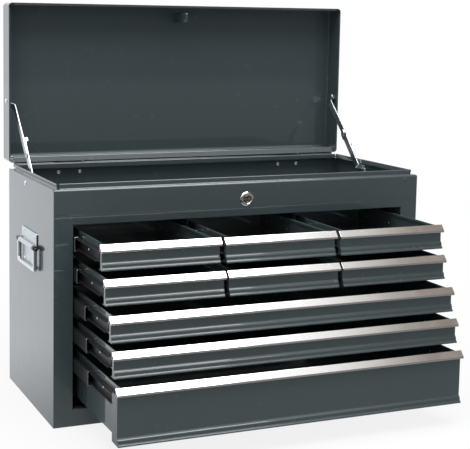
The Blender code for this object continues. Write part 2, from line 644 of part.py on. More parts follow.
for name, row, (centre, half_trim, wall_low, wall_high), pull, share in drawers:
    top, bottom = ROW_TOPS[row], ROW_BOTTOMS[row]
    trim_y = FRONT_Y - pull
    height = top - bottom
    slide_z = top - SLIDE_CENTRE_DROP
    carrier = empty(name, (centre, trim_y, top))

    # Trim: a sloped pull with a lip, hooked over the top of the front
    slope = TRIM_DROP / TRIM_REACH
    under = [(y, slope * y - TRIM_T * math.hypot(1, slope)) for y in (-TRIM_REACH + TRIM_T, -TRIM_T)]
    lip_low = -TRIM_DROP - TRIM_LIP_H
    section = [(0, -TRIM_LEG_H), (0, 0), (-TRIM_REACH, -TRIM_DROP), (-TRIM_REACH, lip_low),
               (-TRIM_REACH + TRIM_RETURN, lip_low), (-TRIM_REACH + TRIM_RETURN, lip_low + TRIM_T),
               (-TRIM_REACH + TRIM_T, lip_low + TRIM_T)] + under + [(-TRIM_T, -TRIM_LEG_H)]
    trim = plate("trim", [section], "yz", -half_trim, half_trim)
    finish(trim, name + "_trim", ALUMINIUM, parent=carrier)

    # Front pan: flat face, cove along the bottom, and side returns
    half_front = half_trim - FRONT_SIDE_IN
    cove_top = -height + COVE_H
    lip_top = -height + COVE_LIP_H
    face_y = FRONT_FACE_Y
    cove = [(face_y - COVE_REACH * (1 - math.cos(math.radians(90 * step / 4))),
             cove_top - (cove_top - lip_top) * math.sin(math.radians(90 * step / 4))) for step in range(5)]
    front_path = [(face_y, -FRONT_TOP_DROP)] + cove + [(face_y - COVE_REACH, -height),
                                                       (face_y + FRONT_FLOOR_D, -height)]
    tray = sheet("front", front_path, "yz", -half_front, half_front, BODY_T, 1)
    skin = BODY_T / 4
    end_path = [(y + skin, z) for y, z in front_path[:-2]]
    end_path += [(face_y - COVE_REACH + skin, -height + skin), (RETURN_D, -height + skin),
                 (RETURN_D, -TRIM_LEG_H - GAP), (-TRIM_T - GAP, -TRIM_LEG_H - GAP),
                 (-TRIM_T - GAP, -FRONT_TOP_DROP - skin), (face_y + skin, -FRONT_TOP_DROP - skin)]
    for hand in (-1, 1):
        low_x, high_x = sorted((hand * (half_front - skin), hand * (half_front - skin - BODY_T)))
        join(tray, plate("end", [end_path[1:]], "yz", low_x, high_x))

    # Body: floor and hemmed sides, back, and the lands behind the front's returns
    body_low = wall_low + SLIDE_SPACE - centre
    body_high = wall_high - SLIDE_SPACE - centre
    floor_z = -height + BODY_FLOOR_RISE
    body_back = DRAWER_D + face_y
    body_path = [(body_low + BODY_HEM_W, -BODY_TOP_DROP - BODY_HEM_H), (body_low + BODY_HEM_W, -BODY_TOP_DROP),
                 (body_low, -BODY_TOP_DROP), (body_low, floor_z), (body_high, floor_z),
                 (body_high, -BODY_TOP_DROP), (body_high - BODY_HEM_W, -BODY_TOP_DROP),
                 (body_high - BODY_HEM_W, -BODY_TOP_DROP - BODY_HEM_H)]
    body = sheet("body", rounded(body_path, BODY_T + GAP, 1), "xz", face_y + BODY_T / 2, body_back, BODY_T, 1)
    cut(body, box("hook_room", (body_low - OVERRUN, face_y - OVERRUN, -TRIM_LEG_H - GAP),
                  (body_high + OVERRUN, GAP, OVERRUN)))
    join(body, box("rear", (body_low + BODY_T / 2, body_back - BODY_T - GAP, floor_z + BODY_T / 2),
                   (body_high - BODY_T / 2, body_back - GAP, -BODY_TOP_DROP - BACK_TOP_DROP)))
    join(tray, body)
    for hand, edge_x in ((-1, body_low), (1, body_high)):
        land = sorted((edge_x - hand * BODY_T / 2, hand * (half_front - skin - BODY_T / 2)))
        join(tray, box("land", (land[0], RETURN_D - BODY_T - skin, floor_z + BODY_T),
                       (land[1], RETURN_D - skin, -TRIM_LEG_H - GAP - skin)))

    # Slides: the runner is riveted to the drawer, the middle member rides between it and the case member
    shift = share * (pull + CLOSED_SETBACK)
    rider = empty(name + "_slide", (centre, SLIDE_Y - shift, slide_z))
    for wall, hand, label in ((wall_low, 1, "left"), (wall_high, -1, "right")):
        join(tray, runner("runner", wall - centre, hand, slide_z - top, RUNNER_SETBACK))
        middle = channel("middle", wall - centre, hand, 0, 0, MIDDLE_L, MIDDLE_IN, MIDDLE_H, MIDDLE_FLANGE)
        finish(middle, name + "_slide_" + label, DARK_STEEL, parent=rider)
        if abs(wall) < PANEL_X:
            join(shelf, channel("fixed", wall, hand, slide_z, SLIDE_Y, FIXED_L, -SHEET / 4, FIXED_H, FIXED_FLANGE))
    finish(tray, name + "_tray", PAINT, parent=carrier)

finish(shelf, "drawer_dividers", PAINT_INSIDE)
for row in range(len(ROW_TOPS)):
    join(right_panel, channel("fixed", PANEL_X, -1, ROW_TOPS[row] - SLIDE_CENTRE_DROP, SLIDE_Y, FIXED_L, -SHEET / 4,
                              FIXED_H, FIXED_FLANGE))
finish(mirrored(right_panel, "left_panel"), "slide_panel_left", PAINT_INSIDE)
finish(right_panel, "slide_panel_right", PAINT_INSIDE)

# Lid, modelled closed about the hinge axis and turned open by its carrier
lid_axis = Vector((0, HINGE_Y, HINGE_Z))
lid_carrier = empty("lid_pivot", lid_axis, math.radians(LID_OPEN_DEG))
lid_top = LID_RIM_Z + LID_H
lid = tray_shell("lid", (-SIDE_X, FRONT_Y, LID_RIM_Z), (SIDE_X, BACK_Y, lid_top), False, LID_CORNER_R, LID_EDGE_R)
hem_high = LID_RIM_Z + SHEET
inset_x = SIDE_X - LID_HEM_INSET
inset_y = BACK_Y - LID_HEM_INSET
join(lid,
     box("rear_flange", (-inset_x, BACK_Y - LID_REAR_FLANGE, LID_RIM_Z), (inset_x, BACK_Y - SHEET / 2, hem_high)),
     box("front_hem", (-inset_x, FRONT_Y + SHEET / 2, LID_RIM_Z), (inset_x, FRONT_Y + LID_FRONT_HEM, hem_high)),
     box("right_hem", (SIDE_X - LID_SIDE_HEM, -inset_y, LID_RIM_Z), (SIDE_X - SHEET / 2, inset_y, hem_high)),
     box("left_hem", (-SIDE_X + SHEET / 2, -inset_y, LID_RIM_Z), (-SIDE_X + LID_SIDE_HEM, inset_y, hem_high)))
lid_stay_seat = Vector((SIDE_X - SHEET, STAY_LID_Y, CASE_H + STAY_LID_UP))
for hand in (-1, 1):
    seat = lid_stay_seat - pivot_reach
    join(lid, rivet("pivot", (hand * seat.x, seat.y, seat.z), (hand, 0, 0), pivot_reach.x + SHEET - GAP / 3))


# Hinges
def hinge_leaf(name, centre_x, up, knuckles, solid):
    """A leaf on the back face, running up or down from the pin, with its share of the knuckles and its rivets."""
    width = HINGE_W / HINGE_KNUCKLES
    leaf_y = BACK_Y + (GAP if solid else -SHEET / 2)
    leaf_out = BACK_Y + GAP + HINGE_LEAF_T
    corners = sorted((HINGE_Z, HINGE_Z + up * HINGE_LEAF_H))
    outline = rectangle((centre_x - HINGE_W / 2, corners[0]), (centre_x + HINGE_W / 2, corners[1]), HINGE_CORNER_R, 2)
    leaf = plate(name, [outline], "xz", leaf_y, leaf_out)
    for index in range(HINGE_KNUCKLES):
        start = centre_x - HINGE_W / 2 + index * width
        if index in knuckles:
            join(leaf, rod("knuckle", (start + GAP / 2, HINGE_Y, HINGE_Z), (start + width - GAP / 2, HINGE_Y, HINGE_Z),
                           HINGE_KNUCKLE_R, SIDES))
        else:
            reach = HINGE_KNUCKLE_R + GAP
            cut(leaf, box("relief", (start - GAP / 2, leaf_y - OVERRUN, HINGE_Z - reach),
                          (start + width + GAP / 2, leaf_out + OVERRUN, HINGE_Z + reach)))
    pin = ((centre_x - HINGE_W / 2 - GAP, HINGE_Y, HINGE_Z), (centre_x + HINGE_W / 2 + GAP, HINGE_Y, HINGE_Z))
    if solid:
        join(leaf, rod("pin", *pin, HINGE_PIN_R, 8))
    else:
        cut(leaf, rod("bore", *pin, HINGE_PIN_R + GAP, 8))
    head_y = BACK_Y - SHEET - (GAP if solid else -GAP / 3)
    for step in (-1, 1):
        seat = (centre_x + step * HINGE_RIVET_PITCH / 2, head_y, HINGE_Z + up * HINGE_RIVET_DROP)
        join(leaf, rivet("rivet", seat, (0, 1, 0), leaf_out - head_y - GAP / 3))
    return leaf


case_knuckles = range(0, HINGE_KNUCKLES, 2)
lid_knuckles = range(1, HINGE_KNUCKLES, 2)
for hand, label in ((-1, "left"), (1, "right")):
    finish(hinge_leaf("case_leaf", hand * HINGE_X, -1, case_knuckles, True), "hinge_case_leaf_" + label, ZINC)
    join(lid, hinge_leaf("lid_leaf", hand * HINGE_X, 1, lid_knuckles, False))
finish(lid, "lid_shell", PAINT, lid_axis, lid_carrier)


# Stays
def link(name, length, beyond, end_radius, hole_at, low_x, step_at, step_length, offset):
    """A flat bar along +Y from its pivot, joggled outwards over a short step near the pivot."""
    half = STAY_W / 2
    arc = [(length + beyond + end_radius * math.sin(math.radians(angle)),
            end_radius * math.cos(math.radians(angle))) for angle in range(30, 180, 30)]
    start = [(STAY_END_R * math.cos(math.radians(angle)), STAY_END_R * math.sin(math.radians(angle)))
             for angle in range(270, 89, -30)]
    outline = start + [(step_at + step_length, half), (length + beyond - end_radius, half)] + arc
    outline += [(length + beyond - end_radius, -half), (step_at + step_length, -half)]
    bar = plate(name, [outline, circle((0, 0), SHANK_R + GAP), circle((hole_at, 0), SHANK_R + GAP)],
                "yz", low_x, low_x + STAY_T)
    bm = bmesh.new()
    bm.from_mesh(bar.data)
    for cut_y in (step_at, step_at + step_length):
        geometry = bm.verts[:] + bm.edges[:] + bm.faces[:]
        bmesh.ops.bisect_plane(bm, geom=geometry, dist=GAP / 30, plane_co=(0, cut_y, 0), plane_no=(0, 1, 0))
    for vert in bm.verts:
        share = min(max((step_at + step_length - vert.co.y) / step_length, 0), 1)
        vert.co.x += share * offset
    bm.to_mesh(bar.data)
    bm.free()
    return bar


upper_x = SIDE_X - LEDGE_W - HEM_W - STAY_CLEAR - STAY_T
lower_x = upper_x - GAP - STAY_T
wall_x = SIDE_X - SHEET - GAP - STAY_T
lower = link("lower", STAY_LOWER_L, 0, STAY_BULGE_R, STAY_LOWER_L, lower_x, STAY_LOWER_STEP, STAY_LOWER_STEP_L,
             wall_x - lower_x)
tab_y = STAY_LOWER_L - STAY_TAB_L / 2
join(lower, box("tab", (lower_x - STAY_TAB_H, tab_y, STAY_BULGE_R - STAY_T - GAP),
                (lower_x + STAY_T / 2, tab_y + STAY_TAB_L, STAY_BULGE_R - GAP)))
elbow_rivet = turned("elbow", [(0, RIVET_HEAD), (RIVET_R * 0.7, RIVET_HEAD), (RIVET_R, -GAP), (0, -GAP)],
                     (lower_x, STAY_LOWER_L, 0), (-1, 0, 0), steps=10)
join(lower, elbow_rivet)
upper = link("upper", STAY_UPPER_L, STAY_TAIL, STAY_W / 2, STAY_UPPER_L + STAY_TAIL, upper_x, STAY_UPPER_STEP,
             STAY_UPPER_STEP_L, wall_x - upper_x)
lower_pivot = Vector((0, stay_seat.y, stay_seat.z))
closed_pivot = Vector((0, lid_stay_seat.y, lid_stay_seat.z))
open_turn = Matrix.Rotation(math.radians(LID_OPEN_DEG), 3, "X")
upper_pivot = lid_axis + open_turn @ (closed_pivot - lid_axis)
reach = upper_pivot - lower_pivot
span = reach.length
along = (STAY_LOWER_L ** 2 - STAY_UPPER_L ** 2 + span ** 2) / (2 * span)
rise = math.sqrt(max(STAY_LOWER_L ** 2 - along ** 2, 0))
unit = reach.normalized()
elbow_point = lower_pivot + unit * along + Vector((0, -unit.z, unit.y)) * rise
for part, name, pivot in ((lower, "stay_lower", lower_pivot), (upper, "stay_upper", upper_pivot)):
    toward = elbow_point - pivot
    for bar, label in ((mirrored(part, "left_link"), "_left"), (part, "_right")):
        finish(bar, name + label, ZINC)
        bar.location = pivot
        bar.rotation_euler.x = math.atan2(toward.z, toward.y)

# Lock barrel, plug with its key slot, and cam
barrel_profile = [(PLUG_R + GAP, LOCK_RING_T + GAP), (LOCK_RING_R - GAP, LOCK_RING_T + GAP),
                  (LOCK_RING_R, LOCK_RING_T), (LOCK_RING_R, GAP), (LOCK_BARREL_R, GAP),
                  (LOCK_BARREL_R, -SHEET - GAP), (LOCK_NUT_R, -SHEET - GAP), (LOCK_NUT_R, -SHEET - GAP - LOCK_NUT_T),
                  (LOCK_BARREL_R, -SHEET - GAP - LOCK_NUT_T), (LOCK_BARREL_R, -LOCK_BARREL_L),
                  (PLUG_R + GAP, -LOCK_BARREL_L)]
lock_axis = Vector((0, FRONT_Y, LOCK_Z))
barrel = turned("barrel", barrel_profile, lock_axis, (0, -1, 0), steps=20, closed=True)
finish(barrel, "lock_barrel", CHROME)
tail_end = -LOCK_BARREL_L - CAM_T - 2 * GAP
plug_profile = [(0, LOCK_RING_T), (PLUG_R, LOCK_RING_T), (PLUG_R, -LOCK_BARREL_L), (PLUG_TAIL_R, -LOCK_BARREL_L),
                (PLUG_TAIL_R, tail_end - GAP), (0, tail_end - GAP)]
plug = turned("plug", plug_profile, lock_axis, (0, -1, 0), steps=16)
cut(plug, box("key", (-KEY_W / 2, FRONT_Y - LOCK_RING_T - OVERRUN, LOCK_Z - KEY_H / 2),
              (KEY_W / 2, FRONT_Y - LOCK_RING_T + KEY_D, LOCK_Z + KEY_H / 2)))
hub = [(CAM_HUB_R * math.cos(math.radians(angle)), CAM_HUB_R * math.sin(math.radians(angle)))
       for angle in range(45, 226, 30)]
cam_low = -CAM_SIDE - CAM_W
cam_outline = hub + [(0, cam_low), (CAM_L, cam_low), (CAM_L, CAM_FINGER_H), (CAM_L - CAM_FINGER_W, CAM_FINGER_H),
                     (CAM_L - CAM_FINGER_W, -CAM_SIDE), (CAM_HUB_R, -CAM_SIDE)]
cam_low_y = FRONT_Y + LOCK_BARREL_L + GAP
cam = plate("cam", [[(x, LOCK_Z + z) for x, z in cam_outline]], "xz", cam_low_y, cam_low_y + CAM_T)
finish(join(plug, cam), "lock_plug", CHROME, lock_axis)

# Catch that hangs from the lid, slotted for the cam's finger
catch_low = LID_RIM_Z - CATCH_BELOW
catch_high = lid_top - SHEET - GAP
catch_y = FRONT_Y + CATCH_FRONT_IN
slot_low = catch_low + CATCH_BAR_H
slot = rectangle((cam_low_y - CATCH_SLOT_CLEAR, slot_low), (cam_low_y + CAM_T + CATCH_SLOT_CLEAR, slot_low + CATCH_SLOT_H))
catch = plate("catch", [rectangle((catch_y, catch_low), (catch_y + CATCH_W, catch_high), CAM_T), slot], "yz", -CATCH_T, 0)
join(catch, box("foot", (-CATCH_T / 2, catch_y, catch_high - SHEET), (CATCH_FOOT_W, catch_y + CATCH_W, catch_high)))
finish(catch, "lid_catch", PAINT, lid_axis, lid_carrier)

# Side handles: plate with a rolled edge, rod, and the bail that hangs on it
plate_x = SIDE_X + GAP
face_x = plate_x + HANDLE_T
rod_x = face_x + GAP + BAIL_DEPTH / 2
plate_bottom = HANDLE_TOP_Z - HANDLE_PLATE_H
handle = plate("handle", [rectangle((-HANDLE_W / 2, plate_bottom), (HANDLE_W / 2, HANDLE_TOP_Z), HANDLE_CORNER_R)],
               "yz", plate_x, face_x)
tongue = rectangle((-TONGUE_W / 2, TONGUE_BOTTOM_Z), (TONGUE_W / 2, plate_bottom + HANDLE_PLATE_H / 2), HANDLE_CORNER_R)
join(handle, plate("tongue", [tongue], "yz", plate_x + GAP / 3, face_x - GAP / 3))
leg_low = BAIL_SPREAD / 2 - BAIL_LEG_W / 2
leg_high = BAIL_SPREAD / 2 + BAIL_LEG_W / 2
knuckle_half = leg_low - GAP
rod_half = leg_high + GAP
head_half = rod_half + ROD_HEAD_T
half_rod = [(0, head_half), (ROD_HEAD_R, head_half), (ROD_HEAD_R, rod_half), (ROD_R, rod_half),
            (ROD_R, knuckle_half), (KNUCKLE_R, knuckle_half)]
pivot_rod = turned("rod", half_rod + [(radius, -y) for radius, y in reversed(half_rod)],
                   (rod_x, 0, BAIL_PIVOT_Z), (0, 1, 0), steps=14)
join(handle, pivot_rod)
finish(mirrored(handle, "left_handle"), "handle_plate_left", ZINC)
finish(handle, "handle_plate_right", ZINC)

eye_z = BAIL_PIVOT_Z - BAIL_EYE_H
bail_x = face_x + GAP
outer = rounded([(-leg_high, BAIL_PIVOT_Z), (-leg_high, BAIL_BOTTOM_Z), (leg_high, BAIL_BOTTOM_Z),
                 (leg_high, BAIL_PIVOT_Z)], BAIL_CORNER_R, 3)
bar_top = BAIL_BOTTOM_Z + BAIL_BAR_H
inner = rounded([(leg_low, BAIL_PIVOT_Z), (leg_low, bar_top), (-leg_low, bar_top), (-leg_low, BAIL_PIVOT_Z)],
                BAIL_CORNER_R / 2, 2)
bail = plate("bail", [outer + inner], "yz", bail_x, bail_x + BAIL_DEPTH)
hollow_low, hollow_high = leg_low + BAIL_WALL, leg_high - BAIL_WALL
hollow_outline = [(-hollow_high, eye_z), (-hollow_high, BAIL_BOTTOM_Z + BAIL_WALL), (hollow_high, BAIL_BOTTOM_Z + BAIL_WALL),
                  (hollow_high, eye_z), (hollow_low, eye_z), (hollow_low, bar_top - BAIL_WALL),
                  (-hollow_low, bar_top - BAIL_WALL), (-hollow_low, eye_z)]
cut(bail, plate("hollow", [hollow_outline], "yz", bail_x - OVERRUN, bail_x + BAIL_DEPTH - BAIL_WALL))
for hand in (-1, 1):
    join(bail, rod("eye", (rod_x, hand * leg_low, BAIL_PIVOT_Z), (rod_x, hand * leg_high, BAIL_PIVOT_Z), BAIL_DEPTH / 2, 14))
cut(bail, rod("bore", (rod_x, -leg_high - OVERRUN, BAIL_PIVOT_Z), (rod_x, leg_high + OVERRUN, BAIL_PIVOT_Z), ROD_R + GAP, 10))
left_bail = mirrored(bail, "left_bail")
finish(bail, "handle_bail_right", CHROME, (rod_x, 0, BAIL_PIVOT_Z))
finish(left_bail, "handle_bail_left", CHROME, (-rod_x, 0, BAIL_PIVOT_Z))
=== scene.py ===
"""Machinist tool chest for a studio picture: painted sheet steel, drawers on telescopic slides, bright pulls.

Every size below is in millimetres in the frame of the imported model, and becomes metres when a mesh is made.
"""
import math

import bmesh
import bpy
from mathutils import Matrix, Vector


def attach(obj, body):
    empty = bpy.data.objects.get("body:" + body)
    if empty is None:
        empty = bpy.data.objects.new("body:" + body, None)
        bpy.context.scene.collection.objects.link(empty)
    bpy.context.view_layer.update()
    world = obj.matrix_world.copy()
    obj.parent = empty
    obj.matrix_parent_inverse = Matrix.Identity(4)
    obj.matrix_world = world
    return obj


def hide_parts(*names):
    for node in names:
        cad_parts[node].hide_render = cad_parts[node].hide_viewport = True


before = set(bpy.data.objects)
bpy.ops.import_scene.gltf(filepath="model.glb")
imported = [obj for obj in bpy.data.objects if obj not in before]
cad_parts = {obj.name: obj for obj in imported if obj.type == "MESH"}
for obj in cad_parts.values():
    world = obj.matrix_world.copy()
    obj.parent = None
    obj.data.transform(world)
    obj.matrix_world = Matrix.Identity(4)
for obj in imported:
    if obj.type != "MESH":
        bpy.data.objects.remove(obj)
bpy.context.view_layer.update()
mm = 0.001


# Paint on every folded sheet: dark grey enamel over steel, sprayed and baked.
# It has a fine orange peel, a faint cloudiness, and smudges that change its gloss.
def node_group(name, kind, takes, gives):
    """An empty shader or geometry group with its named sockets, what it is given, and its output node."""
    group = bpy.data.node_groups.new(name, kind + "NodeTree")
    for label, socket_kind, value in takes:
        socket = group.interface.new_socket(label, in_out="INPUT", socket_type="NodeSocket" + socket_kind)
        if value is not None:
            socket.default_value = value
    for label, socket_kind in gives:
        group.interface.new_socket(label, in_out="OUTPUT", socket_type="NodeSocket" + socket_kind)
    return group, group.nodes.new("NodeGroupInput").outputs, group.nodes.new("NodeGroupOutput")


def feed(tree, node, inputs):
    """Links each input to the socket given for it, or sets it to the value given, and returns the outputs."""
    for label, value in inputs.items():
        if isinstance(value, bpy.types.NodeSocket):
            tree.links.new(value, node.inputs[label])
        else:
            node.inputs[label].default_value = value
    return node.outputs


def add(tree, kind, inputs=None, **settings):
    """The outputs of a new node with its settings and inputs."""
    node = tree.nodes.new(kind)
    for label, value in settings.items():
        setattr(node, label, value)
    return feed(tree, node, inputs or {})


def cloudy_film():
    """Broad uneven tone and gloss, as film thickness and handling leave them."""
    group, given, result = node_group(
        "cloudy_film", "Shader",
        [("Base", "Color", (0.5, 0.5, 0.5, 1)), ("Cloud Size", "Float", 9.0), ("Tone Spread", "Float", 0.06),
         ("Smudge Size", "Float", 34.0), ("Gloss Low", "Float", 0.2), ("Gloss High", "Float", 0.3)],
        [("Colour", "Color"), ("Roughness", "Float")])
    place = add(group, "ShaderNodeTexCoord")["Object"]
    cloud = add(group, "ShaderNodeTexNoise", {"Vector": place, "Scale": given["Cloud Size"], "Detail": 4})
    centred = add(group, "ShaderNodeMath", {0: cloud["Fac"], 1: 0.5}, operation="SUBTRACT")
    tone = add(group, "ShaderNodeMath", {0: centred[0], 1: given["Tone Spread"], 2: 1}, operation="MULTIPLY_ADD")
    tint = add(group, "ShaderNodeVectorMath", {0: given["Base"], "Scale": tone[0]}, operation="SCALE")
    smudge = add(group, "ShaderNodeTexNoise", {
        "Vector": place, "Scale": given["Smudge Size"], "Detail": 5, "Roughness": 0.62, "Distortion": 0.4})
    gloss = add(group, "ShaderNodeMapRange", {
        "Value": smudge["Fac"], "From Min": 0.3, "From Max": 0.7, "To Min": given["Gloss Low"],
        "To Max": given["Gloss High"]})
    feed(group, result, {"Colour": tint[0], "Roughness": gloss["Result"]})
    return group


def surface_grain():
    """Fine relief: round grains give orange peel, long ones give drawn or rolled metal."""
    group, given, result = node_group(
        "surface_grain", "Shader", [("Grains per Metre", "Vector", (900, 900, 900)), ("Depth", "Float", 0.00002)],
        [("Normal", "Vector"), ("Grain", "Float")])
    place = add(group, "ShaderNodeTexCoord")["Object"]
    stretched = add(group, "ShaderNodeVectorMath", {0: place, 1: given["Grains per Metre"]}, operation="MULTIPLY")
    noise = add(group, "ShaderNodeTexNoise", {"Vector": stretched[0], "Scale": 1, "Detail": 3})
    relief = add(group, "ShaderNodeBump", {"Strength": 1, "Distance": given["Depth"], "Height": noise["Fac"]})
    feed(group, result, {"Normal": relief["Normal"], "Grain": noise["Fac"]})
    return group


film_group, grain_group = cloudy_film(), surface_grain()


def finish(name, base, gloss, metallic=0.0, spread=0.06, clouds=9.0, grains=(900, 900, 900), depth=0.02, coat=0.0,
           coat_ior=1.5, ior=1.5):
    """A finish from the two shared groups and one shader. Gloss gives the lowest and the highest roughness."""
    material = bpy.data.materials.new(name)
    material.use_nodes = True
    tree = material.node_tree
    film = add(tree, "ShaderNodeGroup", {
        "Base": (*base, 1), "Cloud Size": clouds, "Tone Spread": spread, "Gloss Low": gloss[0],
        "Gloss High": gloss[1]}, node_tree=film_group)
    grain = add(tree, "ShaderNodeGroup", {"Grains per Metre": grains, "Depth": depth * mm}, node_tree=grain_group)
    feed(tree, tree.nodes["Principled BSDF"], {
        "Metallic": metallic, "IOR": ior, "Coat Weight": coat, "Coat Roughness": 0.04, "Coat IOR": coat_ior,
        "Base Color": film["Colour"], "Roughness": film["Roughness"], "Normal": grain["Normal"]})
    return material


paint = finish("grey_enamel", (0.045, 0.062, 0.067), (0.21, 0.28), coat=1.0, coat_ior=1.58, ior=1.35, depth=0.006)


# Case sides: one steel sheet each, 1 mm thick, folded over at the top into a ledge, an upright lip and a hem.
# Narrow flanges turn in at the front and the back, where the fascia and the back wall are spot-welded on.
def realized(group, geometry, look):
    """Ends a geometry group: its instances are made real and take their finish."""
    real = add(group, "GeometryNodeRealizeInstances", {"Geometry": geometry})
    return add(group, "GeometryNodeSetMaterial", {"Geometry": real["Geometry"], "Material": look})["Geometry"]


def fold_tree():
    """A folded sheet: the corners of its section are rolled to the bend radius, then it runs straight."""
    group, given, result = node_group(
        "folded_sheet", "Geometry",
        [("Section", "Geometry", None), ("Run", "Vector", (0, 0, 1)), ("Bend Radius", "Float", 0.002),
         ("Bend Steps", "Int", 6), ("Finish", "Material", None)], [("Sheet", "Geometry")])
    line = add(group, "GeometryNodeMeshToCurve", {"Mesh": given["Section"]})
    bend = add(group, "GeometryNodeFilletCurve", {
        "Curve": line["Curve"], "Radius": given["Bend Radius"], "Count": given["Bend Steps"],
        "Limit Radius": True}, mode="POLY")
    strip = add(group, "GeometryNodeCurveToMesh", {"Curve": bend["Curve"]})
    pull = add(group, "GeometryNodeExtrudeMesh", {"Mesh": strip["Mesh"], "Offset": given["Run"]}, mode="EDGES")
    feed(group, result, {"Sheet": realized(group, pull["Mesh"], given["Finish"])})
    return group


folding = fold_tree()


def linked(name, bm, looks=()):
    """A new object in the scene from a bmesh, with its finishes."""
    mesh = bpy.data.meshes.new(name)
    bm.to_mesh(mesh)
    bm.free()
    for look in looks:
        mesh.materials.append(look)
    obj = bpy.data.objects.new(name, mesh)
    bpy.context.scene.collection.objects.link(obj)
    return obj


def solid(name, bm, look=None):
    """A new object from a bmesh whose points are in millimetres."""
    bm.transform(Matrix.Diagonal((mm, mm, mm, 1)))
    return linked(name, bm, [look] if look else [])


def baked(obj):
    """The object with its modifiers worked into a plain mesh."""
    bpy.context.view_layer.update()
    mesh = bpy.data.meshes.new_from_object(obj.evaluated_get(bpy.context.evaluated_depsgraph_get()))
    obj.modifiers.clear()
    obj.data = mesh
    return obj


def grow_by(obj, tree, **values):
    """Runs a geometry tree on the object, with its inputs set by name, and bakes it."""
    step = obj.modifiers.new(tree.name, "NODES")
    step.node_group = tree
    for socket in tree.interface.items_tree:
        key = socket.name.replace(" ", "_").lower()
        if socket.in_out == "INPUT" and key in values:
            step[socket.identifier] = values[key]
    return baked(obj)


def wall(obj, thickness):
    """Gives an open skin its thickness behind its faces."""
    shell = obj.modifiers.new("wall", "SOLIDIFY")
    shell.thickness = thickness * mm
    shell.offset = -1
    shell.use_even_offset = True
    return baked(obj)


def folded(name, section, run, toward, thickness=1.0, radius=1.6, steps=6, look=paint):
    """A sheet folded along a section and run straight; toward says which way its first leg thickens."""
    bm = bmesh.new()
    verts = [bm.verts.new(point) for point in section]
    for pair in zip(verts, verts[1:]):
        bm.edges.new(pair)
    obj = solid(name, bm)
    grow_by(obj, folding, run=Vector(run) * mm, bend_radius=radius * mm, bend_steps=steps, finish=look)
    middle = (Vector(section[0]) + Vector(section[1])) / 2 * mm + Vector(run) * mm / 2
    first = min(obj.data.polygons, key=lambda face: (face.center - middle).length)
    if first.normal.dot(Vector(toward)) > 0:
        obj.data.flip_normals()
    return wall(obj, thickness)


def cuboid(low, high):
    """A bmesh box between two corners."""
    bm = bmesh.new()
    bmesh.ops.create_cube(bm, size=1)
    low, high = Vector(low), Vector(high)
    bm.transform(Matrix.Translation((low + high) / 2) @ Matrix.Diagonal((*(high - low), 1)))
    return bm


def block(name, low, high, look=paint):
    return solid(name, cuboid(low, high), look)


def cut(obj, *tools):
    """Cuts the tools out of the object and removes them."""
    for tool in tools:
        step = obj.modifiers.new("cut", "BOOLEAN")
        step.operation = "DIFFERENCE"
        step.solver = "EXACT"
        step.object = tool
        baked(obj)
        bpy.data.objects.remove(tool, do_unlink=True)
    return obj


def gathered(name, *parts):
    """One object of several, each keeping its own finish."""
    bm = bmesh.new()
    looks = []
    for part in parts:
        slots = []
        for look in part.data.materials:
            if look not in looks:
                looks.append(look)
            slots.append(looks.index(look))
        start = len(bm.faces)
        bm.from_mesh(part.data)
        bm.faces.ensure_lookup_table()
        for face in bm.faces[start:]:
            face.material_index = slots[face.material_index] if slots else 0
        bpy.data.objects.remove(part, do_unlink=True)
    return linked(name, bm, looks)


def softened(obj, width=0.15, steps=2, angle=50):
    """Breaks the sharp edges and leaves the surface to be shaded smooth."""
    edge = obj.modifiers.new("edge", "BEVEL")
    edge.width = width * mm
    edge.segments = steps
    edge.limit_method = "ANGLE"
    edge.angle_limit = math.radians(angle)
    edge.use_clamp_overlap = False
    obj.data.shade_smooth()
    return baked(obj)


def mirrored(obj, name):
    """A mirror image across the middle plane of the chest."""
    bm = bmesh.new()
    bm.from_mesh(obj.data)
    bm.transform(Matrix.Scale(-1, 4, (1, 0, 0)))
    bmesh.ops.reverse_faces(bm, faces=bm.faces)
    return linked(name, bm, obj.data.materials)


def fit_pair(right, name, body, slot, node):
    """Fits the mirror image of a piece on the left, then the piece itself on the right."""
    fit(mirrored(right, "left"), name + "_left", body, slot, node + "_left")
    fit(right, name + "_right", body, slot, node + "_right")


def fit(obj, name, body, slot, *nodes):
    """Names a finished piece, evens its shading, lets it ride on its body and stand for its CAD nodes."""
    obj.name = name
    obj.modifiers.new("even_normals", "WEIGHTED_NORMAL").keep_sharp = True
    baked(obj)
    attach(obj, body)
    if nodes:
        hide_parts(*nodes)


width, depth, height = 600.0, 255.0, 345.0
side_x, front_y, back_y = width / 2, -depth / 2, depth / 2
sheet, gap, bend_r = 1.0, 0.3, 1.3
lap = sheet + gap
ledge, rear_ledge, lip, hem, lip_lean = 7.5, 11.2, 7.5, 2.8, 2.0
side_end, hem_x, hem_foot = back_y - lap, side_x - ledge - hem, height + 1
right_side = folded("side", [(x, -side_end, z) for x, z in (
    (side_x, 0), (side_x, height), (side_x - ledge, height), (side_x - ledge + lip_lean, height + lip),
    (hem_x + lip_lean, height + lip), (hem_x, hem_foot))], (0, 2 * side_end, 0), (-1, 0, 0), radius=bend_r)
corner = block("corner", (side_x - 3, -3, -3), (side_x + 1, 3, 0.9))
seat = Matrix.Translation(Vector((0, front_y + lap, height)) * mm)
corner.data.transform(seat @ Matrix.Rotation(math.radians(-45), 4, "X"))
notch_x, notch_end, notch_top = side_x - 12.3, side_x - 1.15, height + lip + 2
cut(right_side, corner,
    block("front_notch", (notch_x, front_y - 2, height - lap), (notch_end, front_y + ledge + lap, notch_top)),
    block("rear_notch", (notch_x, back_y - rear_ledge - lap, height - lap), (notch_end, back_y + 2, notch_top)))
softened(right_side)
flange_in, flange_top = side_x - 20, height - 3
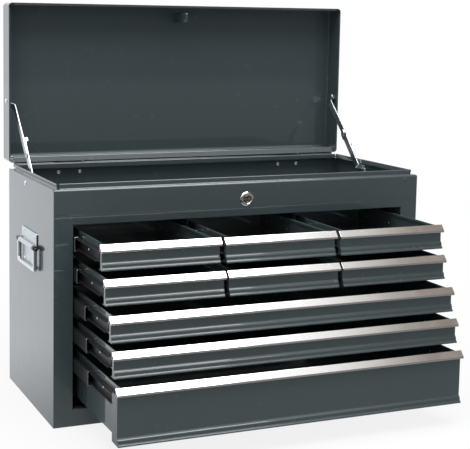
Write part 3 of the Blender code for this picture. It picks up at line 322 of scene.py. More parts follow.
flanges = [softened(block("flange", (flange_in, y, 0), (side_x - 0.5, y + sheet, flange_top)))
           for y in (-side_end, side_end - sheet)]
right_side = gathered("right_side", right_side, *flanges)
fit_pair(right_side, "side_sheet", "case", "grey_paint", "case_side")


# Back wall and fascia: sheets across the whole width, folded at the top to meet the ledge and lip of the sides.
# The fascia stops at a seam above the drawers and is punched for the lock; a small button covers its spot weld.
def rim_wall(name, wall_y, inward, ledge_w, bottom, roll):
    """A wall that rolls over at its top into the ledge, the lip and the hem, cut short at both ends for the sides."""
    turns = [math.radians(angle) for angle in range(0, 91, 15)]
    bend = [(wall_y + inward * roll * (1 - math.cos(turn)), height - roll * (1 - math.sin(turn))) for turn in turns]
    lip_y, hem_y = wall_y + inward * ledge_w, wall_y + inward * (ledge_w + hem)
    rolled = [(lip_y, height), (lip_y, height + lip), (hem_y, height + lip), (hem_y, hem_foot)]
    section = [(-side_x, y, z) for y, z in [(wall_y, bottom)] + bend + rolled]
    rim = folded(name, section, (width, 0, 0), (0, inward, 0), radius=bend_r)
    deep = wall_y + inward * (ledge_w + hem + 2)
    for hand in (-1, 1):
        for start_x, start_y, low_z in ((side_x - lap, wall_y + inward * 1.15, height - 3),
                                        (hem_x - gap, wall_y + inward * (ledge_w - 1.6), height + 0.1)):
            xs, ys = sorted((hand * start_x, hand * (side_x + 2))), sorted((start_y, deep))
            cut(rim, block("end", (xs[0], ys[0], low_z), (xs[1], ys[1], notch_top)))
    return rim


def disc(name, centre, direction, radius, reach, sides=32, look=paint):
    """A cylinder from a point along a direction."""
    bm = bmesh.new()
    bmesh.ops.create_cone(bm, cap_ends=True, segments=sides, radius1=radius, radius2=radius, depth=reach)
    turn = Vector(direction).to_track_quat("Z", "Y").to_matrix().to_4x4()
    bm.transform(Matrix.Translation(Vector(centre) + Vector(direction).normalized() * reach / 2) @ turn)
    return solid(name, bm, look)


seam_z, lock_z, lock_r = height - 36.5, height - 25.6, 8.5
hinge_x, hinge_y, hinge_z = 200.0, back_y + 4.25, height + 4.75
rivet_pitch, rivet_drop, hole_r = 36.0, 12.75, 2.3
rivet_xs = [hand * hinge_x + step * rivet_pitch / 2 for hand in (-1, 1) for step in (-1, 1)]
back = rim_wall("back", back_y, -1, rear_ledge, 0, 1.6)
for x in rivet_xs:
    cut(back, disc("hole", (x, back_y - 3, hinge_z - rivet_drop), (0, 1, 0), hole_r, 5))
fit(softened(back), "back_sheet", "case", "grey_paint", "case_back")
fascia = rim_wall("fascia", front_y, 1, ledge, seam_z, 3.4)
cut(fascia, disc("lock_hole", (0, front_y - 2, lock_z), (0, 1, 0), lock_r + gap, 5, 48))
softened(fascia)


def turned(name, profile, origin, direction, steps=48, look=paint, closed=False):
    """A profile of (radius, height) turned round an axis through the origin."""
    bm = bmesh.new()
    verts = [bm.verts.new((radius, 0, rise)) for radius, rise in profile]
    edges = [bm.edges.new(pair) for pair in zip(verts, verts[1:])]
    if closed:
        edges.append(bm.edges.new((verts[-1], verts[0])))
    bmesh.ops.spin(bm, geom=verts + edges, cent=(0, 0, 0), axis=(0, 0, 1), angle=math.tau, steps=steps)
    bmesh.ops.remove_doubles(bm, verts=bm.verts, dist=0.001)
    bmesh.ops.recalc_face_normals(bm, faces=bm.faces)
    turn = Vector(direction).to_track_quat("Z", "Y").to_matrix().to_4x4()
    bm.transform(Matrix.Translation(origin) @ turn)
    return solid(name, bm, look)


def smooth(obj, angle=35):
    """Smooth shading that stays sharp where faces meet at more than the angle."""
    obj.data.shade_smooth()
    obj.data.set_sharp_from_angle(angle=math.radians(angle))
    return obj


button_dome = [(0, 0.75), (1.6, 0.72), (2.6, 0.6), (3.4, 0.38), (3.9, 0.1), (4.0, -0.5), (0, -0.5)]
button = smooth(turned("button", button_dome, (side_x - 22.6, front_y, height - 7.4), (0, -1, 0)))
fit(gathered("fascia_sheet", fascia, button), "fascia_sheet", "case", "grey_paint", "front_fascia")


# Face frame: one sheet punched out for the drawers, its edges turned inward as a jamb all round the opening.
# It is welded to the sides and to the fascia above.
opening_x, opening_top, rail, jamb = side_x - 29, height - 50.8, 25.4, 12
bm = bmesh.new()
rings = []
for x, low, high, y in ((side_x, 0, seam_z - gap, front_y), (opening_x, rail, opening_top, front_y),
                        (opening_x, rail, opening_top, front_y + jamb)):
    rings.append([bm.verts.new(point) for point in ((-x, y, low), (x, y, low), (x, y, high), (-x, y, high))])
for outer, inner in zip(rings, rings[1:]):
    for index in range(4):
        bm.faces.new((outer[index], outer[index - 3], inner[index - 3], inner[index]))
bmesh.ops.recalc_face_normals(bm, faces=bm.faces)
bm.normal_update()
if max(bm.faces, key=lambda face: face.calc_area()).normal.y > 0:
    bmesh.ops.reverse_faces(bm, faces=bm.faces)
bend_edges = [bm.edges.get((rings[1][index], rings[1][index - 3])) for index in range(4)]
bmesh.ops.bevel(bm, geom=bend_edges, offset=bend_r, segments=5, profile=0.5, affect="EDGES")
face_frame = softened(wall(solid("face_frame", bm, paint), sheet))
fit(face_frame, "face_frame", "case", "grey_paint", "front_frame")


# Base pan and till: shallow folded pans with rounded corners. One closes the case below, the other is the tray
# under the lid that holds hand tools.
def pan(name, low, high, open_top, corner=2.0, edge=2.0, steps=5):
    """A pan with rounded corners from low to high, open at its top or its bottom."""
    bm = cuboid(low, high)
    floor_z = low[2] if open_top else high[2]
    mouth = [face for face in bm.faces
             if abs(face.normal.z) > 0.9 and abs(face.calc_center_median().z - floor_z) > 1]
    bmesh.ops.delete(bm, geom=mouth, context="FACES")
    upright = [rib for rib in bm.edges if abs(rib.verts[0].co.z - rib.verts[1].co.z) > (high[2] - low[2]) / 2]
    bmesh.ops.bevel(bm, geom=upright, offset=corner, segments=steps, profile=0.5, affect="EDGES")
    rim = [rib for rib in bm.edges if all(abs(vert.co.z - floor_z) < 0.01 for vert in rib.verts)
           and any(abs(face.normal.z) < 0.5 for face in rib.link_faces)]
    bmesh.ops.bevel(bm, geom=rim, offset=edge, segments=steps, profile=0.5, affect="EDGES")
    bmesh.ops.recalc_face_normals(bm, faces=bm.faces)
    bm.normal_update()
    if (max(bm.faces, key=lambda face: face.calc_area()).normal.z > 0) == open_top:
        bmesh.ops.reverse_faces(bm, faces=bm.faces)
    return wall(solid(name, bm, paint), sheet)


pan_x, pan_y, till_z, base_h, till_h = side_x - lap, back_y - 2 * lap, height - 47, 18, 8
base_pan = softened(pan("base", (-pan_x, -pan_y, 0), (pan_x, pan_y, base_h), True))
fit(base_pan, "base_pan", "case", "grey_paint", "case_base")
till_pan = softened(pan("till", (-pan_x, -pan_y, till_z - sheet), (pan_x, pan_y, till_z + till_h), True))
fit(till_pan, "till_pan", "case", "inner_paint", "till_floor")


# Inner panels, shelf and uprights: the folded sheets between the drawers that carry the slides.
# The fixed slide members sit on them, rolled from steel strip with curled ball tracks and plated black.
# This dark finish is the black plating of the slides; the handle rods and bail eyes also take it, as painted shade.
black_steel = finish("black_steel", (0.035, 0.037, 0.038), (0.26, 0.42), metallic=0.6, spread=0.3, clouds=40.0,
                     grains=(500, 60, 500), depth=0.006)
panel_x, panel_front, panel_rear, panel_top = opening_x + 0.5, front_y + 14.5, back_y - 12.5, till_z - lap
row_pitch, top_clear, row_clear, bottom_clear = 44.175, 6.9, 7.2, 6.0
row_tops = [opening_top - top_clear - row * row_pitch for row in range(5)]
row_bottoms = [top + row_clear for top in row_tops[1:]] + [rail + bottom_clear]
shelf_z = row_tops[2] + 3.1
long_trim, trim_split = opening_x - 3, 3.5
half_trim = (2 * long_trim - 2 * trim_split) / 6
upright_x, upright_t = half_trim + trim_split / 2, 1.0
slide_front, slide_drop = front_y + 28, 20.6


def channel(name, wall_x, hand, middle_z, start_y, length, inset, high, flange, look=black_steel):
    """A slide member on a wall, open towards its drawer, with its lips curled in round the balls."""
    half, mouth = high / 2, inset + flange
    upper = [(mouth + 0.2, half - 2.0), (mouth - 0.4, half - 0.4), (mouth - 2, half), (inset, half)]
    section = upper + [(along, -up) for along, up in reversed(upper)]
    placed = [(wall_x + hand * along, start_y, middle_z + up) for along, up in section]
    return folded(name, placed, (0, length, 0), (0, 0, -1), radius=1.2, steps=4, look=look)


panel_plan = [(pan_x - 3, panel_front), (panel_x, panel_front), (panel_x, panel_rear), (pan_x - 3, panel_rear)]
panel = folded("panel", [(x, y, lap) for x, y in panel_plan], (0, 0, panel_top - lap), (0, 1, 0))
fixed_length, fixed_section = 212, (-0.25, 23.6, 9.4)
members = [channel("member", panel_x, -1, top - slide_drop, slide_front, fixed_length, *fixed_section)
           for top in row_tops]
right_panel = gathered("right_panel", softened(panel), *members)
fit_pair(right_panel, "slide_wall", "case", "inner_paint", "slide_panel")
shelf_t = 1.2
shelf_side = [(panel_front, shelf_z - 0.8), (panel_front, shelf_z + shelf_t), (panel_rear, shelf_z + shelf_t)]
level = folded("shelf", [(-panel_x + gap, y, z) for y, z in shelf_side], (2 * panel_x - 2 * gap, 0, 0), (0, 1, 0),
               thickness=shelf_t, radius=1.0)
shelf = [softened(level)]
for middle_x in (-upright_x, upright_x):
    left_x, right_x = middle_x - upright_t / 2, middle_x + upright_t / 2
    shelf.append(softened(block("upright", (left_x, panel_front, shelf_z + shelf_t / 2),
                                (right_x, panel_rear, panel_top))))
    for top in row_tops[:2]:
        for face_x, hand in ((left_x, -1), (right_x, 1)):
            shelf.append(channel("member", face_x, hand, top - slide_drop, slide_front, fixed_length, *fixed_section))
fit(gathered("dividers", *shelf), "shelf_and_uprights", "case", "inner_paint", "drawer_dividers")


# Drawers: a body folded from thin sheet with hemmed edges, and a pressed front with a cove along its foot.
# The pull is an extruded and polished aluminium trim hooked over the front. Runners are riveted to both sides.
def joined(group, *parts):
    """Several geometries as one."""
    whole = group.nodes.new("GeometryNodeJoinGeometry")
    for part in parts:
        group.links.new(part, whole.inputs["Geometry"])
    return whole.outputs["Geometry"]


def stamping_tree():
    """A plate stamped from flat outlines, the inner ones holes, and given its thickness."""
    group, given, result = node_group(
        "stamped_plate", "Geometry",
        [("Outline", "Geometry", None), ("Thickness", "Float", 0.001), ("Finish", "Material", None)],
        [("Plate", "Geometry")])
    line = add(group, "GeometryNodeMeshToCurve", {"Mesh": given["Outline"]})
    fill = add(group, "GeometryNodeFillCurve", {"Curve": line["Curve"]}, mode="NGONS")
    upper = add(group, "GeometryNodeExtrudeMesh", {
        "Mesh": fill["Mesh"], "Offset Scale": given["Thickness"], "Individual": False})
    under = add(group, "GeometryNodeFlipFaces", {"Mesh": fill["Mesh"]})
    both = joined(group, upper["Mesh"], under["Mesh"])
    weld = add(group, "GeometryNodeMergeByDistance", {"Geometry": both, "Distance": 0.000002})
    feed(group, result, {"Plate": realized(group, weld["Geometry"], given["Finish"])})
    return group


stamping = stamping_tree()
planes = {"xz": (Vector((1, 0, 0)), Vector((0, 0, 1))), "yz": (Vector((0, 1, 0)), Vector((0, 0, 1)))}


def stamped(name, outlines, plane, low, high, look=paint):
    """Outlines in a plane, filled and thickened from low to high along the third axis."""
    bm = bmesh.new()
    for outline in outlines:
        verts = [bm.verts.new((*point, 0)) for point in outline]
        for index in range(len(verts)):
            bm.edges.new((verts[index - 1], verts[index]))
    obj = grow_by(solid(name, bm), stamping, thickness=(high - low) * mm, finish=look)
    if sum(face.area * face.normal.z * face.center.z for face in obj.data.polygons) < 0:
        obj.data.flip_normals()
    along, up = planes[plane]
    square = along.cross(up)
    third = Vector((abs(square.x), abs(square.y), abs(square.z)))
    seat = third * (low if square.dot(third) > 0 else high) * mm
    obj.data.transform(Matrix.Translation(seat) @ Matrix((along, up, square)).transposed().to_4x4())
    return obj


def eased(points, radius, steps=5, closed=False):
    """A flat outline with its corners turned into arcs that their legs leave room for."""
    points = [Vector(point) for point in points]
    count = len(points)
    out = [] if closed else [points[0]]
    for index in range(count) if closed else range(1, count - 1):
        corner = points[index]
        back, ahead = points[index - 1] - corner, points[(index + 1) % count] - corner
        half = back.angle(ahead) / 2
        reach = min(radius / max(math.tan(half), 1e-3), back.length * 0.48, ahead.length * 0.48)
        bend = reach * math.tan(half)
        if abs(half - math.pi / 2) < 0.02 or reach < 0.01:
            out.append(corner)
            continue
        centre = corner + (back.normalized() + ahead.normalized()).normalized() * (bend / math.sin(half))
        start, end = corner + back.normalized() * reach - centre, corner + ahead.normalized() * reach - centre
        sweep = start.angle(end)
        for step in range(steps + 1):
            share = step / steps
            swung = start * math.sin((1 - share) * sweep) + end * math.sin(share * sweep)
            out.append(centre + swung / math.sin(sweep))
    if not closed:
        out.append(points[-1])
    return out


def rivet_tree():
    """Rivets through a stack of sheets: a domed head at each end of a shank."""
    group, given, result = node_group(
        "rivets", "Geometry",
        [("Places", "Geometry", None), ("Facing", "Vector", (0, 0, 0)), ("Head Radius", "Float", 0.004),
         ("Head Rise", "Float", 0.0015), ("Grip", "Float", 0.003), ("Finish", "Material", None)],
        [("Rivets", "Geometry")])
    head_r = given["Head Radius"]
    size = add(group, "ShaderNodeCombineXYZ", {"X": head_r, "Y": head_r, "Z": given["Head Rise"]})
    dome = add(group, "GeometryNodeMeshUVSphere", {"Segments": 28, "Rings": 14})
    near_head = add(group, "GeometryNodeTransform", {"Geometry": dome["Mesh"], "Scale": size[0]})["Geometry"]
    far = add(group, "ShaderNodeCombineXYZ", {"Z": given["Grip"]})
    far_head = add(group, "GeometryNodeTransform", {"Geometry": near_head, "Translation": far[0]})["Geometry"]
    half_grip = add(group, "ShaderNodeMath", {0: given["Grip"], 1: 0.5}, operation="MULTIPLY")
    half_radius = add(group, "ShaderNodeMath", {0: head_r, 1: 0.5}, operation="MULTIPLY")
    pin = add(group, "GeometryNodeMeshCylinder", {"Vertices": 20, "Radius": half_radius[0], "Depth": given["Grip"]})
    middle = add(group, "ShaderNodeCombineXYZ", {"Z": half_grip[0]})
    shank = add(group, "GeometryNodeTransform", {"Geometry": pin["Mesh"], "Translation": middle[0]})["Geometry"]
    rivet = joined(group, near_head, far_head, shank)
    spread = add(group, "GeometryNodeInstanceOnPoints", {
        "Points": given["Places"], "Instance": rivet, "Rotation": given["Facing"]})
    feed(group, result, {"Rivets": realized(group, spread["Instances"], given["Finish"])})
    return group


riveting = rivet_tree()


def rounded(low, high, radius):
    """The outline of a rectangular plate with round corners."""
    return eased([low, (high[0], low[1]), high, (low[0], high[1])], radius, closed=True)


def rivets(name, places, facing, grip, look, head=4.0, rise=1.5):
    """Rivets from their inner seats, facing along an axis."""
    bm = bmesh.new()
    for place in places:
        bm.verts.new(place)
    turn = Vector(facing).to_track_quat("Z", "Y").to_euler()
    return smooth(grow_by(solid(name, bm), riveting, facing=Vector(turn), head_radius=head * mm,
                          head_rise=rise * mm, grip=grip * mm, finish=look))


def ball_tree():
    """A row of steel balls along a slide."""
    group, given, result = node_group(
        "ball_row", "Geometry",
        [("Places", "Geometry", None), ("Count", "Int", 10), ("Pitch", "Vector", (0, 0.01, 0)),
         ("Ball Radius", "Float", 0.0015), ("Finish", "Material", None)], [("Balls", "Geometry")])
    line = add(group, "GeometryNodeMeshLine", {"Count": given["Count"], "Offset": given["Pitch"]})
    ball = add(group, "GeometryNodeMeshIcoSphere", {"Subdivisions": 2, "Radius": given["Ball Radius"]})
    row = add(group, "GeometryNodeInstanceOnPoints", {"Points": line["Mesh"], "Instance": ball["Mesh"]})
    rows = add(group, "GeometryNodeInstanceOnPoints", {"Points": given["Places"], "Instance": row["Instances"]})
    feed(group, result, {"Balls": realized(group, rows["Instances"], given["Finish"])})
    return group


rolling = ball_tree()
aluminium = finish("polished_aluminium", (0.95, 0.945, 0.935), (0.06, 0.14), metallic=1.0, spread=0.04, clouds=14.0,
                   grains=(9, 700, 700), depth=0.010)
bright_steel = finish("bright_steel", (0.74, 0.78, 0.80), (0.12, 0.22), metallic=1.0, spread=0.12, clouds=30.0,
                      grains=(350, 350, 350), depth=0.01)

trim_section = eased([(0, -12), (0, 0), (-8, -9.5), (-8, -12.5), (-5.4, -12.5), (-5.4, -11.1), (-6.6, -11.1),
                      (-6.6, -10.01), (-1.4, -3.84), (-1.4, -12)], 0.9, 5, closed=True)
cove_section = ((0, 11.6), (0.5, 10.4), (1.5, 9.2), (2.4, 8.4), (2.8, 7.2), (3.0, 5.2), (3.4, 3.8), (4.3, 2.7),
                (5.5, 2.1))
foot_out, front_t, fold_in, shut_setback = 5.5, 0.8, 2.4, 8.5
slide_room, floor_lift, rim_drop, body_length = 10.6, 4.5, 2.5, 223.1
middle_length, middle_section, runner_length, runner_high, runner_leg = 200, (1.4, 20.5, 7.1), 195, 7.6, 6.3
ball_out, ball_up, ball_r, ball_count, ball_pitch = 6.6, 8.5, 0.85, 16, 12
column_step, upright_out, upright_in = 2 * half_trim + trim_split, upright_x + 0.5, upright_x - 0.5
panel_walls = {"left": (-column_step, -panel_x, -upright_out), "middle": (0, -upright_in, upright_in),
               "right": (column_step, upright_out, panel_x)}
drawers = [("drawer_1_" + side, 0, *panel_walls[side], half_trim, pull, 0.26)
           for side, pull in (("left", 108), ("middle", 112), ("right", 115))]
drawers += [("drawer_2_" + side, 1, *panel_walls[side], half_trim, 124, 0.31) for side in panel_walls]
drawers += [("drawer_%d" % (row + 1), row, 0, -panel_x, panel_x, long_trim, pull, 0.51)
            for row, pull in ((2, 147), (3, 160), (4, 175))]

for name, row, centre, wall_low, wall_high, half_pull, pull, share in drawers:
    top, foot, pull_y = row_tops[row], row_bottoms[row], front_y - pull
    trim = stamped("trim", [[(pull_y + y, top + z) for y, z in trim_section]], "yz", centre - half_pull,
                   centre + half_pull, aluminium)
    fit(softened(trim, 0.25), name + "_pull", name, "aluminium_trim", name + "_trim")

    half_front, face = half_pull - 2, pull_y - 2.5
    cove = [(face - out, foot + up) for out, up in cove_section]
    section = [(face, top - 5.6)] + cove + [(face - foot_out, foot), (face + 12, foot)]
    front = folded("front", [(centre - half_front, y, z) for y, z in section], (2 * half_front, 0, 0), (0, 1, 0),
                   thickness=front_t, radius=0.8, steps=3)
    parts = [softened(front, 0.2)]
    land_y, land_top = pull_y + (18 if row == 4 else 3), top - 12.5
    end = [(y + 0.2, z) for y, z in cove] + [
        (face - foot_out + 0.2, foot + 0.2), (land_y + 1, foot + 0.2), (land_y + 1, land_top + 0.2),
        (pull_y - 1.7, land_top + 0.2), (pull_y - 1.7, top - 5.8), (face + 0.2, top - 5.8)]
    for hand in (-1, 1):
        sides = sorted((centre + hand * (half_front - 1.0), centre + hand * (half_front - 0.2)))
        parts.append(softened(stamped("end", [end], "yz", *sides)))
    body_low, body_high = wall_low + slide_room, wall_high - slide_room
    floor_z, rim_z = foot + floor_lift, top - rim_drop
    left = [(fold_in, rim_z - 4), (fold_in, rim_z), (0, rim_z), (0, floor_z + fold_in), (fold_in, floor_z)]
    profile = [(body_low + x, z) for x, z in left] + [(body_high - x, z) for x, z in reversed(left)]
    start, inside = pull_y + 0.4, front_t / 2
    rear = start + body_length
    body = folded("body", [(x, start, z) for x, z in profile], (0, body_length, 0), (-1, 0, 0), thickness=front_t,
                  radius=1.1, steps=4)
    rear_wall = block("rear", (body_low + inside, rear - gap - front_t, floor_z + inside),
                      (body_high - inside, rear - gap, rim_z - 1.5))
    parts += [softened(body), softened(rear_wall)]
    for hand, edge_x in ((-1, body_low), (1, body_high)):
        xs = sorted((edge_x - hand * inside, centre + hand * (half_front - 0.6)))
        land = block("land", (xs[0], land_y, floor_z + front_t), (xs[1], land_y + front_t, land_top))
        parts.append(softened(land))
    fit(gathered("drawer_body", *parts), name + "_body", name, "grey_paint", name + "_tray")

    slide_z = top - slide_drop
    mid_y, runner_y = slide_front - share * (pull + shut_setback), pull_y + 19.5
    runners, middles = [], []
    for wall_x, hand in ((wall_low, 1), (wall_high, -1)):
        web = wall_x + hand * 10.8
        legs = [(runner_leg, runner_high), (0, runner_high), (0, -runner_high), (runner_leg, -runner_high)]
        runners.append(folded("runner", [(web - hand * leg, runner_y, slide_z + up) for leg, up in legs],
                              (0, runner_length, 0), (0, 0, -1), radius=1.5, look=black_steel))
        seats = [(web - hand * 1.2, pull_y + y, slide_z) for y in (66, 132, 200)]
        runners.append(rivets("rivet", seats, (hand, 0, 0), 1.9, bright_steel, head=1.9, rise=0.8))
        middles.append(channel("middle", wall_x, hand, slide_z, mid_y, middle_length, *middle_section))
        middles.append(channel("sheared_end", wall_x, hand, slide_z, mid_y - 0.4, 0.5, *middle_section, bright_steel))
        bm = bmesh.new()
        for up in (-1, 1):
            bm.verts.new((wall_x + hand * ball_out, mid_y + ball_pitch / 2, slide_z + up * ball_up))
        balls = grow_by(solid("balls", bm), rolling, count=ball_count, pitch=Vector((0, ball_pitch, 0)) * mm,
                        ball_radius=ball_r * mm, finish=black_steel)
        middles.append(smooth(balls))
    fit(gathered("runners", *runners), name + "_runners", name, "black_steel")
    fit(gathered("middles", *middles), name + "_middle_members", name + "_slides", "black_steel",
        name + "_slide_left", name + "_slide_right")


# Lid: one deep-drawn pan with rounded corners, hemmed at the front and sides and flanged along the hinge.
# It is shaped closed on the case, then turned open about the hinge pins. A slotted catch hangs inside its front.
lid_low, lid_top = height + 0.5, height + 40.5
lid_turn = (Matrix.Translation(Vector((0, hinge_y, hinge_z)) * mm) @ Matrix.Rotation(math.radians(-90), 4, "X")
            @ Matrix.Translation(Vector((0, -hinge_y, -hinge_z)) * mm))
lid = softened(pan("lid", (-side_x, front_y, lid_low), (side_x, back_y, lid_top), False, 6.0, 4.0, 8))
inset_x, inset_y = side_x - 9, back_y - 9
rear_flange = folded("rear_flange", [(-inset_x, back_y - back, lid_low + up) for back, up in (
    (0.8, 0.5), (9.2, 4.2), (9.5, 9))], (2 * inset_x, 0, 0), (0, 0, 1), radius=2.4)
arc_y, arc_z, arc_r = back_y - 12, lid_top - 12, 11.1
arc = [(-inset_x, arc_y + arc_r * math.cos(math.radians(angle)), arc_z + arc_r * math.sin(math.radians(angle)))
       for angle in range(0, 91, 10)]
rims = [rear_flange, folded("wide_bend", arc, (2 * inset_x, 0, 0), (0, 1, 0), thickness=0.5, radius=0.5, steps=1),
        block("front_hem", (-inset_x, front_y + 0.5, lid_low), (inset_x, front_y + 3.5, lid_low + sheet)),
        block("left_hem", (-side_x + 0.5, -inset_y, lid_low), (-side_x + 2.5, inset_y, lid_low + sheet)),
        block("right_hem", (side_x - 2.5, -inset_y, lid_low), (side_x - 0.5, inset_y, lid_low + sheet))]
leaf_half = 25
beside = leaf_half + 2 * gap
for low_x, high_x in ((-inset_x, -hinge_x - beside), (beside - hinge_x, hinge_x - beside),
                      (hinge_x + beside, inset_x)):
    rims.append(block("web", (low_x, back_y - 0.4, hinge_z - 0.8), (high_x, back_y + 1, hinge_z + 0.8)))
    rims.append(disc("bead", (low_x, hinge_y, hinge_z), (1, 0, 0), 4.15, high_x - low_x))
lid = gathered("lid", lid, *[softened(rim, 0.3, 3) for rim in rims])
lid.data.transform(lid_turn)
fit(lid, "lid_pan", "lid", "grey_paint", "lid_shell")
catch_y, catch_low, catch_high = front_y + 12.5, lid_low - 15, lid_top - 1.3
catch_end, slot_y, slot_low = catch_y + 16, front_y + 21.1, catch_low + 3.6
strip = rounded((catch_y, catch_low), (catch_end, catch_high), 2)
slot = rounded((slot_y, slot_low), (slot_y + 4.4, slot_low + 7.3), 0.6)
catch = [stamped("catch", [strip, slot], "yz", -3, 0),
         block("foot", (-1.5, catch_y, catch_high - sheet), (5, catch_end, catch_high))]
catch = gathered("catch", *[softened(part, 0.25) for part in catch])
catch.data.transform(lid_turn)
fit(catch, "lid_catch_strip", "lid", "grey_paint", "lid_catch")


# Hinges: stamped leaves with rolled knuckles on a pin, painted with the case and riveted through the back wall and
# the lid. Their pins, like the stays and the handles, are zinc plated and a little cloudy.
zinc = finish("zinc_plate", (0.66, 0.69, 0.71), (0.22, 0.36), metallic=1.0, spread=0.22, clouds=42.0,
              grains=(260, 260, 260), depth=0.012)


def hinge_leaf(name, centre_x, up, holds_pin):
    """A leaf that goes up or down from the pin. The one that holds the pin has three knuckles, the other has two."""
    leaf_y, leaf_out, leaf_rise = back_y + gap, back_y + 1.5, 20
    knuckle, knuckle_r, play = leaf_half * 2 / 5, 3.3, gap / 2
    low_z, high_z = sorted((hinge_z, hinge_z + up * leaf_rise))
    outline = rounded((centre_x - leaf_half, low_z), (centre_x + leaf_half, high_z), 3)
    leaf = stamped(name, [outline], "xz", leaf_y, leaf_out)
    parts = []
    for index in range(5):
        start = centre_x - leaf_half + index * knuckle
        if (index % 2 == 0) == holds_pin:
            seat = (start + play, hinge_y, hinge_z)
            parts.append(softened(disc("knuckle", seat, (1, 0, 0), knuckle_r, knuckle - 2 * play, 40), 0.25))
        else:
            cut(leaf, block("relief", (start - play, leaf_y - 2, hinge_z - knuckle_r - gap),
                            (start + knuckle + play, leaf_out + 2, hinge_z + knuckle_r + gap)))
    if holds_pin:
        half_pin = leaf_half + gap
        pin = disc("pin", (centre_x - half_pin, hinge_y, hinge_z), (1, 0, 0), 1.3, 2 * half_pin, 24, zinc)
        parts.append(softened(pin, 0.2))
    seats = [(centre_x + step * rivet_pitch / 2, back_y - 1, hinge_z + up * rivet_drop) for step in (-1, 1)]
    parts.append(rivets("rivet", seats, (0, 1, 0), leaf_out - back_y + 1, bright_steel, head=3.7, rise=2.3))
    return gathered(name, softened(leaf, 0.2), *parts)


for hand, side in ((-1, "left"), (1, "right")):
    fit(hinge_leaf("leaf", hand * hinge_x, -1, True), "hinge_leaf_case_" + side, "case", "grey_paint",
        "hinge_case_leaf_" + side)
    leaf = hinge_leaf("leaf", hand * hinge_x, 1, False)
    leaf.data.transform(lid_turn)
    fit(leaf, "hinge_leaf_lid_" + side, "lid", "grey_paint")


# Folding stays: two zinc plated flat links on each side, joggled clear of the rim and riveted to case and lid.
# The lower link swells round its elbow and carries a bent tab that stops the upper one.
def arc_points(radius, angles, along=0):
    """Points at the angles, in degrees, on a circle whose middle lies along the first axis."""
    return [(along + radius * math.cos(math.radians(angle)), radius * math.sin(math.radians(angle)))
            for angle in angles]


def link(name, length, beyond, end_r, hole_at, low_x, step_at, step_length, offset):
    """A flat bar along +Y from its pivot, joggled outwards over a short step near the pivot."""
    far = length + beyond
    start, end = arc_points(5, range(270, 89, -12)), arc_points(end_r, range(78, -79, -12), far)
    neck = [(step_at + step_length, 6), (far - end_r - 2, 6), (far - end_r + 1, end_r)]
    outline = start + neck + end + [(y, -z) for y, z in reversed(neck)]
    holes = [arc_points(hole_r, [360 * step / 32 for step in range(32)], middle) for middle in (0, hole_at)]
    bar = stamped(name, [outline] + holes, "yz", low_x, low_x + link_t, zinc)
    bm = bmesh.new()
    bm.from_mesh(bar.data)
    for share in (0, 0.25, 0.5, 0.75, 1):
        bmesh.ops.bisect_plane(bm, geom=bm.verts[:] + bm.edges[:] + bm.faces[:], dist=1e-6,
                               plane_co=(0, (step_at + share * step_length) * mm, 0), plane_no=(0, 1, 0))
    for vert in bm.verts:
        share = min(max((step_at + step_length - vert.co.y / mm) / step_length, 0), 1)
        vert.co.x += share * share * (3 - 2 * share) * offset * mm
    bm.to_mesh(bar.data)
    bm.free()
    return softened(bar, 0.25)


lower_l, upper_l, link_t = 79.0, 88.3, 1.5
upper_x = hem_x - 0.4 - link_t
lower_x, wall_x = upper_x - link_t - gap, side_x - 2.8
tab = block("tab", (lower_x - 3.5, lower_l - 3.5, 6.2), (lower_x + link_t / 2, lower_l + 3.5, 7.7), zinc)
lower = gathered("lower", link("bar", lower_l, 0, 8, lower_l, lower_x, 5, 4, wall_x - lower_x), softened(tab, 0.3),
                 rivets("elbow", [(lower_x - gap, lower_l, 0)], (1, 0, 0), 0.6, bright_steel))
upper = link("bar", upper_l, 25, 6, upper_l + 25, upper_x, 7, 7, wall_x - upper_x)
case_pivot = Vector((0, 28, height - 10.5))
lid_pivot = lid_turn @ (Vector((0, 29.5, height + 20)) * mm) / mm
reach = lid_pivot - case_pivot
along = (lower_l ** 2 - upper_l ** 2 + reach.length ** 2) / (2 * reach.length)
unit = reach.normalized()
elbow = case_pivot + unit * along + Vector((0, -unit.z, unit.y)) * math.sqrt(lower_l ** 2 - along ** 2)
for part, body, pivot in ((lower, "stay_lower", case_pivot), (upper, "stay_upper", lid_pivot)):
    toward = elbow - pivot
    part.data.transform(Matrix.Translation(pivot * mm) @ Matrix.Rotation(math.atan2(toward.z, toward.y), 4, "X"))
    fit_pair(part, body + "_link", body, "zinc_steel", body)
for pivot, body in ((case_pivot, "case"), (lid_pivot, "lid")):
    seats = [(hand, (hand * (wall_x - gap), pivot.y, pivot.z)) for hand in (-1, 1)]
    heads = gathered("pivots", *[rivets("rivet", [seat], (hand, 0, 0), 3.1, bright_steel) for hand, seat in seats])
    heads.data.materials.append(black_steel)
    for face in heads.data.polygons:
        if abs(face.center.x) > (side_x - 0.2) * mm:
            face.material_index = 1
    fit(heads, "stay_rivets_" + body, body, "zinc_steel")


# Cam lock: a chromed barrel through the fascia with a nut behind it, and a plug with a keyway.
# The plug's tail carries a hooked cam that turns into the slot of the lid's catch.
chrome = finish("chrome_plate", (0.84, 0.83, 0.82), (0.05, 0.10), metallic=1.0, spread=0.05, clouds=60.0,
                grains=(500, 500, 500), depth=0.002)
lock_seat, bore_r, lock_deep = (0, front_y, lock_z), 6.3, -22
bezel = [(bore_r, 0.4), (6.6, 1.3), (7.3, 1.9), (8.2, 2.0), (9.1, 1.8), (10.0, 1.3), (10.7, 0.7), (11, 0.1)]
tube = [(lock_r, 0.1), (lock_r, -1.3), (lock_r, lock_deep), (bore_r, lock_deep)]
barrel = turned("barrel", bezel + tube, lock_seat, (0, -1, 0), 64, chrome, True)
nut = disc("nut", (0, front_y + lap, lock_z), (0, 1, 0), 11.5, 4, 6, chrome)
cut(nut, disc("bore", lock_seat, (0, 1, 0), lock_r, 8, 48, chrome))
